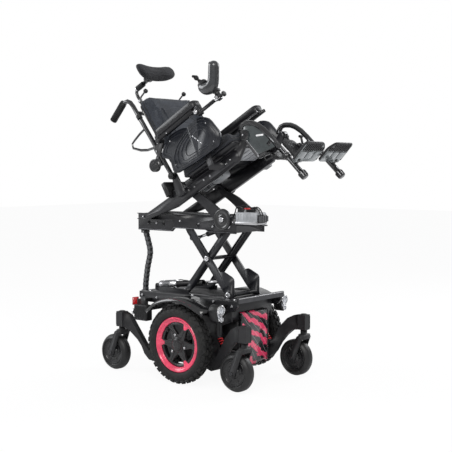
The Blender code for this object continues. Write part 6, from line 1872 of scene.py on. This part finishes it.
def backDetails():
    facts, grip, knob, row = backFacts, backFacts["grip"], backFacts["knob"], backFacts["ribs"]
    dress("back_frame", "tubePaint",
          [("gripRubber", lambda c, n: c.x < grip["rear"] and c.z > grip["low"] and abs(c.y) > grip["y"]),
           ("blackPlastic", lambda c, n: c.x > knob["u"] and c.z > knob["v"])], backFrame)
    end, corner = (Vector((u, 0, v)) for u, v in (facts["handle"]["end"], facts["handle"]["corner"]))
    way, y = (end - corner).normalized(), facts["y"]
    ribs, collars, discs = Shape(), Shape(), Shape()
    for _, side in sides:
        for i in range(row["count"]):
            spot = end - way * (row["first"] - i * row["pitch"])
            ribs.lathe(collar(0.0142, 0.01545, 0.0036), (spot.x, side * y, spot.z), way, 24)
        foot = end - way * facts["gripFoot"]
        collars.lathe(collar(0.0096, 0.0128, 0.0056, 0.0132), (foot.x, side * y, foot.z), way, 24)
        collars.lathe(collar(0.0096, 0.0122, 0.0166), (0, side * y, facts["caneCollar"]), (0, 0, 1), 24)
        for spot, out, radius in facts["discs"]:
            profile = [(radius * share, h) for share, h in facts["disc"]]
            discs.lathe(profile, (spot[0], side * (y + out), spot[1]), (0, side, 0), 32)
    onBack("grip_ribs", ribs, "back", "gripRubber")
    onBack("cane_collars", collars, "back", "blackPlastic")
    onBack("recline_discs", discs, "back", "hubPlastic")
    shell, cane = facts["shellBolts"], facts["caneBolt"]
    spots = [((shell["u"], side * shell["y"], v), (-1, 0, 0)) for _, side in sides for v in shell["v"]]
    spots += [((cane[0], side * cane[1], cane[2]), (0, side, 0)) for _, side in sides]
    screws("back_bolts", spots, 0.0042, "back", place=backFrame)


def neckDetails():
    facts = neckFacts
    dress("headrest_stem", "tubePaint")
    onBack("headrest_neck_sleeve", Shape().rod(*facts["sleeve"], 0.0125, 28, rounding=0.0018), "headrest",
           "gripRubber")
    rings = Shape().lathe(collar(0.0078, 0.0110, 0.0076), *facts["ring"], 28)
    rings.lathe(collar(0.0078, 0.0104, 0.0106), facts["stemRing"], (0, 0, 1), 28)
    onBack("headrest_neck_rings", rings, "headrest", "steel")
    start, tip, seat = facts["knob"]
    knob = Shape().rod(start, tip, 0.0040, 14).lathe(facts["knobShape"], seat, (0, -1, 0), 24)
    onBack("headrest_slide_knob", knob, "back", "blackPlastic")


armFacts = {
    "bolts": {"s": (0.110, 0.290), "y": 0.2127, "n": 0.190},
    "rails": {"y": (0.1790, 0.1850, 0.1910), "s": (0.222, 0.296), "n": 0.1955},
    "plate": ((0.404, -0.2250, 0.1540), (0.426, -0.2020, 0.1565)),
    "nut": ((0.415, -0.2215, 0.163), (0.415, -0.2290, 0.163)),
    "cap": [(0, 0.0040), (0.0062, 0.0040), (0.0085, 0.0024), (0.0085, 0), (0, 0)], "capAt": (0.304, -0.2400, 0.166),
    "ringAt": (0.396, -0.212, 0.166), "rod": ((0.312, -0.2045, 0.166), (0.398, -0.2045, 0.166)),
    "knobs": (((0.304, -0.2270, 0.166), (0, -1, 0)), ((0.4370, -0.212, 0.163), (1, 0, 0))),
    "knob": [(0, 0.0110), (0.0081, 0.0110), (0.0108, 0.0085), (0.0108, 0.0022), (0.00864, 0), (0, 0)],
}


def armDetail(suffix, side):
    facts, body = armFacts, "armrest_" + suffix
    dress("armrest_" + suffix, "framePaint")
    bolts, rails = facts["bolts"], facts["rails"]
    spots = [((s, side * bolts["y"], bolts["n"]), (0, side, 0)) for s in bolts["s"]]
    screws("arm_bolts_" + suffix, spots, 0.0052, body, "chrome", place=seatFrame)
    under = Shape()
    for y in rails["y"]:
        under.tube([(s, side * y, rails["n"]) for s in rails["s"]], 0.0016, 8)
    addPiece("arm_rails_" + suffix, under, body, "steel", place=seatFrame)
    if side > 0:
        return      # the joystick's clamp is on the right arm alone
    metal, knobs = Shape().box(*facts["plate"], 0.0008), Shape()
    metal.lathe(facts["cap"], facts["capAt"], (0, -1, 0), 24)
    metal.lathe(collar(0.0076, 0.0098, 0.0066), facts["ringAt"], (1, 0, 0), 28)
    metal.rod(*facts["nut"], 0.0062, 6)
    addPiece("joystick_clamp_metal", metal, body, "chrome", place=seatFrame)
    for spot, way in facts["knobs"]:
        knobs.lathe(facts["knob"], spot, way, 24)
    knobs.tube(facts["rod"], 0.0016, 8)
    addPiece("joystick_clamp_knobs", knobs, body, "blackPlastic", place=seatFrame)


stickFacts = {
    "y": -0.228, "middle": (0.380, 0.247), "lean": radians(112),
    "spine": [(0.380, 0.231), (0.390, 0.219), (0.412, 0.213), (0.432, 0.226), (0.448, 0.250), (0.463, 0.274)],
    "collar": [(0.0160, -0.0110), (0.0212, -0.0110), (0.0216, -0.0020), (0.0196, 0.0034), (0.0172, 0.0044),
               (0.0158, 0.0030)],
    "stem": ((0.415, -0.212, 0.1756), (0.415, -0.212, 0.200)),
    "block": ((0.402, -0.2245, 0.186), (0.429, -0.2005, 0.198)),
    "ridge": [(0.415, 0.180), (0.440, 0.190), (0.462, 0.215), (0.482, 0.245), (0.492, 0.275)],
    "ridges": (-0.013, 0.0, 0.013), "buttonAt": (0.4520, 0.2945), "buttonWay": (-0.35, 0, 0.94),
    "button": [(0, 0.0030), (0.0045, 0.0028), (0.0062, 0.0016), (0.0066, -0.0040), (0, -0.0040)],
    "folds": (0.0098, 0.0090, 0.0081, 0.0072, 0.0060), "foldFirst": 0.0100, "foldPitch": 0.0027, "tee": 0.0485,
}


def joystickDetails():
    facts, y = stickFacts, stickFacts["y"]
    spine = [(s, y, n) for s, n in curveThrough(facts["spine"], 6)]
    last = len(spine) - 1
    widths = [0.0225 + 0.0035 * sin(pi * min(1.0, i / last * 1.6)) - 0.0015 * i / last for i in range(last + 1)]
    lobes = Shape().tube(spine, widths, 28)
    for i in (0, -1):
        lobes.ball(spine[i], widths[i], 14)
    pod = addPiece("joystick_pod_shell", blended(lobes, 0.0022, 9), "joystick", "podGrey",
                   ("joystick_pod",), 180)
    pod.data.transform(seatFrame)
    up = Vector((cos(facts["lean"]), 0, sin(facts["lean"])))
    middle = Vector((facts["middle"][0], y, facts["middle"][1]))
    ring = Shape().lathe(facts["collar"], middle, up, 36)
    ring.rod(*facts["stem"], 0.0112, 24).box(*facts["block"], 0.003)
    addPiece("joystick_collar", ring, "joystick", "blackPlastic", place=seatFrame)
    ridges, skin, back = Shape(), skinOf(pod), seatFrame.inverted()
    for offset in facts["ridges"]:
        line = []
        for s, n in curveThrough(facts["ridge"], 8):
            spot, normal, _, _ = skin.find_nearest(seatFrame @ Vector((s, y + offset, n)))
            line.append(back @ (spot + normal * 0.0002))
        ridges.tube(line, 0.0012, 8)
    ridges.lathe(facts["button"], (facts["buttonAt"][0], y, facts["buttonAt"][1]), facts["buttonWay"], 24)
    addPiece("joystick_trim", ridges, "joystick", "blackGloss", place=seatFrame)
    dress("joystick_yoke", "gripRubber")
    dress("joystick_stick", "gripRubber")
    gaiter = Shape()
    for i, radius in enumerate(facts["folds"]):
        fold = [(0.0032, 0), (radius - 0.0014, 0), (radius, 0.0011), (radius - 0.0014, 0.0024), (0.0032, 0.0024)]
        gaiter.lathe(fold, middle + up * (facts["foldFirst"] + i * facts["foldPitch"]), up, 28)
    head, half = middle + up * facts["tee"], Vector((0.0, 0.0135, 0.0))
    gaiter.rod(head - half, head + half, 0.0052, 20, rounding=0.0016)
    addPiece("stick_gaiter", gaiter, "joystick_lever", "gripRubber", place=seatFrame)


legFacts = {
    "panel": [(-0.006, 0.014), (0.022, 0.030), (0.050, 0.004), (0.067, -0.050), (0.067, -0.142), (-0.008, -0.104)],
    # slot: the white strip on the leg panel, which is painted highlight
    "slot": ((0.038, -0.046, 0.0034), (0.060, -0.066, 0.0034)),
    "silverEdge": ((-0.0075, 0.0048, 0.010), (-0.0092, 0.0048, -0.100)),
    "darkEdge": ((-0.0075, 0.0046, -0.104), (0.066, 0.0046, -0.1415)),
    "ring": [(0.004, -0.122), (0.034, -0.136), (0.030, -0.158), (0.000, -0.146)],
    "ringStem": ((0.020, 0.002, -0.120), (0.017, 0.004, -0.132)),
    "lever": ((0.022, 0.006, -0.116), (0.056, 0.006, -0.062)),
    "leverTee": ((0.056, -0.006, -0.062), (0.056, 0.017, -0.062)),
    "tube": 0.077, "stripes": (0.4, 1.1, 2.0, 2.8), "stripe": {"out": 0.0108, "b": (-0.165, -0.196)},
    "capStripe": ((0.0152, -0.296), (0.0140, -0.318)), "capRib": ((0.0154, -0.2965), (0.0144, -0.3165)),
    "capRibs": 16,
    "lines": ((0.0875, 0.0040, 0.0011), (0.0790, 0.0112, 0.0009)), "lineB": (-0.216, -0.290),
    "knobs": (((0.077, 0.0130, -0.205), [(0, 0.0100), (0.00644, 0.0100), (0.0092, 0.0078), (0.0092, 0.0020),
                                         (0.00782, 0), (0, 0)]),
              ((0, 0.0112, 0), [(0, 0.0020), (0.0075, 0.0020), (0.0090, 0.0034), (0.0150, 0.0026), (0.0165, 0),
                                (0, 0)])),
    "bolts": ((-0.014, 0.0012, -0.104), (0, 0.0144, 0)),
}


def mirrored(points, side):
    return [(a, side * y, b) for a, y, b in points]


def legDetails(suffix, side):
    facts, place, body = legFacts, legFrame(side), "leg_" + suffix

    def onLeg(name, shape, material):
        addPiece(f"{name}_{suffix}", shape, body, material, place=place)

    dress("legrest_" + suffix, "tubePaint")
    trim, steel, caps, ribs, knobs = (Shape() for _ in range(5))
    if side < 0:
        panel = roundLoop(facts["panel"], 0.009, 5)
        onLeg("leg_panel", Shape().plate(panel, side * 0.0020, side * 0.0046, rounding=0.0006), "panelGrey")
        # The white strip on the glossy panel is painted highlight, standing for a bright reflection on it
        slot = belt(*facts["slot"], steps=14)
        onLeg("leg_panel_slots", Shape().plate(slot, side * 0.0046, side * 0.0054, rounding=0.0002), "whitePlastic")
        steel.tube(mirrored(facts["silverEdge"], side), 0.0016, 8)
        trim.tube(mirrored(facts["darkEdge"], side), 0.0016, 8)
        ring = [(a, side * 0.004, b) for a, b in roundLoop(facts["ring"], 0.008, 5)]
        trim.tube(ring, 0.0032, 10, closed=True)
        trim.rod(*mirrored(facts["ringStem"], side), 0.0036, 12)
    else:
        trim.rod(*facts["lever"], 0.0048, 16, rounding=0.0008)
        trim.rod(*facts["leverTee"], 0.0056, 16, rounding=0.0012)

    def around(turn, ends, flip):
        return [(facts["tube"] + out * sin(turn), flip * out * cos(turn), b) for out, b in ends]

    stripe = facts["stripe"]
    for turn in facts["stripes"]:
        steel.tube(around(turn, [(stripe["out"], b) for b in stripe["b"]], side), 0.0009, 6)
        caps.tube(around(turn, facts["capStripe"], side), 0.0011, 8)
    for a, y, radius in facts["lines"]:
        steel.tube([(a, side * y, b) for b in facts["lineB"]], radius, 8)
    for i in range(facts["capRibs"]):
        ribs.tube(around(2 * pi * i / facts["capRibs"] + 0.2, facts["capRib"], 1), 0.0016, 8)
    onLeg("leg_cap_ribs", ribs, "blackPlastic")
    onLeg("leg_trim", trim, "blackPlastic")
    onLeg("leg_silver", steel, "steel")
    onLeg("leg_cap_stripes", caps, "whitePlastic")
    for (a, y, b), profile in facts["knobs"]:
        knobs.lathe(profile, (a, side * y, b), (0, side, 0), 28)
    onLeg("leg_knobs", knobs, "hubPlastic")
    spots = [((a, side * y, b), (0, side, 0)) for a, y, b in facts["bolts"]]
    screws("leg_bolts_" + suffix, spots, 0.0044, body, place=place)


footFacts = {
    "b": -0.250, "sunk": 0.0040, "width": (-0.106, 0.027), "dark": 0.160, "pads": (0.112, 0.146),
    "padShares": ((1, 0.62), (0.56, 0.20)), "lastPad": 0.14,
    "ribs": {"count": 11, "a": 0.1500, "half": 0.0030, "reach": (0.1835, 0.168), "corner": 0.085},
    # a, then how far past the inner or the outer edge
    "lip": ((0.104, 0, -0.0060), (0.1600, 0, -0.0062), (0.1865, 0, 0.0235), (0.1865, 1, 0.0050), (0.104, 1, 0.0052)),
    "grip": {"count": 7, "first": 0.112, "pitch": 0.0105, "half": 0.0016, "inset": 0.012, "b": (0.0036, 0.0052)},
}


def footDetails(suffix, side):
    facts, place, body = footFacts, legFrame(side), "foot_" + suffix
    dress("footplate_" + suffix, "footGrey", [("darkGrey", lambda c, n: c.x > facts["dark"])], place)
    edges = inner, outer = [side * y for y in facts["width"]]
    face, ribs, grip = facts["b"] - facts["sunk"], facts["ribs"], facts["grip"]
    sole, dark, tread = Shape(), Shape(), Shape()
    low, high = facts["pads"]
    spans = [(inner * a, inner * b) for a, b in facts["padShares"]] + [(inner * facts["lastPad"], outer)]
    for start, end in spans:
        pad = roundLoop([(low, start), (high, start), (high, end), (low, end)], 0.006, 3)
        sole.plate(pad, face - 0.0028, face + 0.0004, "Z", 0.0012, 2)
    addPiece("foot_sole_" + suffix, sole, body, "footGrey", place=place)
    for i in range(ribs["count"]):
        y = inner + (outer - inner) * (i + 0.5) / ribs["count"]
        far = ribs["reach"][0] if abs(y) < ribs["corner"] else ribs["reach"][1]
        dark.box((ribs["a"], y - ribs["half"], face - 0.0034), (far, y + ribs["half"], face + 0.0004), 0.0012)
    lip = roundCorners([(a, edges[k] + side * past) for a, k, past in facts["lip"]], 0.012)
    dark.tube([(a, y, facts["b"]) for a, y in lip], 0.0046, 10)
    addPiece("foot_ribs_" + suffix, dark, body, "blackPlastic", place=place)
    for i in range(grip["count"]):
        a, half, inset = grip["first"] + i * grip["pitch"], grip["half"], grip["inset"]
        tread.box((a - half, min(edges) + inset, facts["b"] + grip["b"][0]),
                  (a + half, max(edges) - inset, facts["b"] + grip["b"][1]), 0.0007)
    addPiece("foot_grip_" + suffix, tread, body, "gripRubber", place=place)


railDetails()
driveDetails()
backDetails()
neckDetails()
joystickDetails()
for suffix, side in sides:
    guardDetails(suffix, side)
    armDetail(suffix, side)
    legDetails(suffix, side)
    footDetails(suffix, side)
print("seat ready")




# Floor, light and camera

def paleStage():
    made = Finish("Pale floor", (0.86, 0.86, 0.87), 0.9)
    grain = made.noise(3, 4)
    made.colour(made.mix(grain, (0.84, 0.84, 0.85), (0.88, 0.88, 0.885)))
    seen = made.node("ShaderNodeLightPath", out="Is Camera Ray")
    clear = made.node("ShaderNodeLightPath", out="Is Transmission Ray")
    direct = made.math("MAXIMUM", seen, clear)      # seen directly, the floor glows; to other rays it is plain
    glow = made.node("ShaderNodeEmission", None, {"Color": (1, 1, 1), "Strength": 1.0})
    both = made.node("ShaderNodeMixShader", None, {0: direct * stage["floorGlow"]})
    made.tree.links.new(made.skin.outputs[0], both.socket.node.inputs[1])
    made.tree.links.new(glow.socket, both.socket.node.inputs[2])
    output = next(n for n in made.tree.nodes if n.type == "OUTPUT_MATERIAL")
    made.tree.links.new(both.socket, output.inputs["Surface"])
    return made.material


stage = {"floorHalf": 14.0, "floorZ": -0.0004, "floorGlow": 0.93, "worldLevel": 0.26,
         "worldTint": (0.92, 0.95, 1.0, 1), "worldWhite": 0.5,
         "camera": (2.5574, -3.0715, 0.8774), "target": (0.0074, 0.0, 0.6262), "lens": 76.9, "lampAim": (0, 0, 0.65)}

floorMesh = bpy.data.meshes.new("Floor")
half = stage["floorHalf"]
corners = ((-half, -half), (half, -half), (half, half), (-half, half))
floorMesh.from_pydata([(x, y, stage["floorZ"]) for x, y in corners], [], [(0, 1, 2, 3)])
floorMesh.materials.append(paleStage())
floor = bpy.data.objects.new("Floor", floorMesh)
scene.collection.objects.link(floor)


def aimed(thing, spot, target):
    thing.location = spot
    thing.rotation_euler = (Vector(target) - Vector(spot)).to_track_quat("-Z", "Y").to_euler()
    scene.collection.objects.link(thing)


def studioWorld():
    # White where it is seen, and half white, half dim where it lights the chair
    made = bpy.data.worlds.new("Soft studio")
    made.use_nodes = True
    nodes, links = made.node_tree.nodes, made.node_tree.links
    nodes.clear()
    rays = nodes.new("ShaderNodeLightPath")
    least, direct = nodes.new("ShaderNodeMath"), nodes.new("ShaderNodeMath")
    least.operation = direct.operation = "MAXIMUM"
    least.inputs[1].default_value = stage["worldWhite"]
    pick = nodes.new("ShaderNodeMixShader")
    out = nodes.new("ShaderNodeOutputWorld")
    links.new(rays.outputs["Is Camera Ray"], least.inputs[0])
    links.new(least.outputs[0], direct.inputs[0])
    links.new(rays.outputs["Is Transmission Ray"], direct.inputs[1])
    links.new(direct.outputs[0], pick.inputs[0])
    for i, (colour, level) in enumerate(((stage["worldTint"], stage["worldLevel"]), ((1, 1, 1, 1), 1.0))):
        glow = nodes.new("ShaderNodeBackground")
        glow.inputs["Color"].default_value = colour
        glow.inputs["Strength"].default_value = level
        links.new(glow.outputs[0], pick.inputs[i + 1])
    links.new(pick.outputs[0], out.inputs[0])
    return made


scene.world = studioWorld()
lamps = {
    "Key softbox": {"at": (1.9, -2.6, 3.1), "size": 1.9, "watts": 88, "colour": (1.0, 0.99, 0.97)},
    "Left softbox": {"at": (-2.9, -1.7, 2.0), "size": 1.7, "watts": 46, "colour": (0.96, 0.98, 1.0)},
    "Back strip": {"at": (0.7, 2.9, 2.3), "size": 1.6, "watts": 50, "colour": (0.97, 0.98, 1.0)},
}
for label, facts in lamps.items():
    data = bpy.data.lights.new(label, "AREA")
    data.shape = "SQUARE"
    data.size = facts["size"]
    data.energy = facts["watts"]
    data.color = facts["colour"]
    lamp = bpy.data.objects.new(label, data)
    aimed(lamp, facts["at"], stage["lampAim"])

camera = bpy.data.objects.new("Camera", bpy.data.cameras.new("Camera"))
camera.data.lens = stage["lens"]
camera.data.sensor_width = 36
aimed(camera, stage["camera"], stage["target"])
scene.camera = camera
scene.view_settings.view_transform = "Standard"
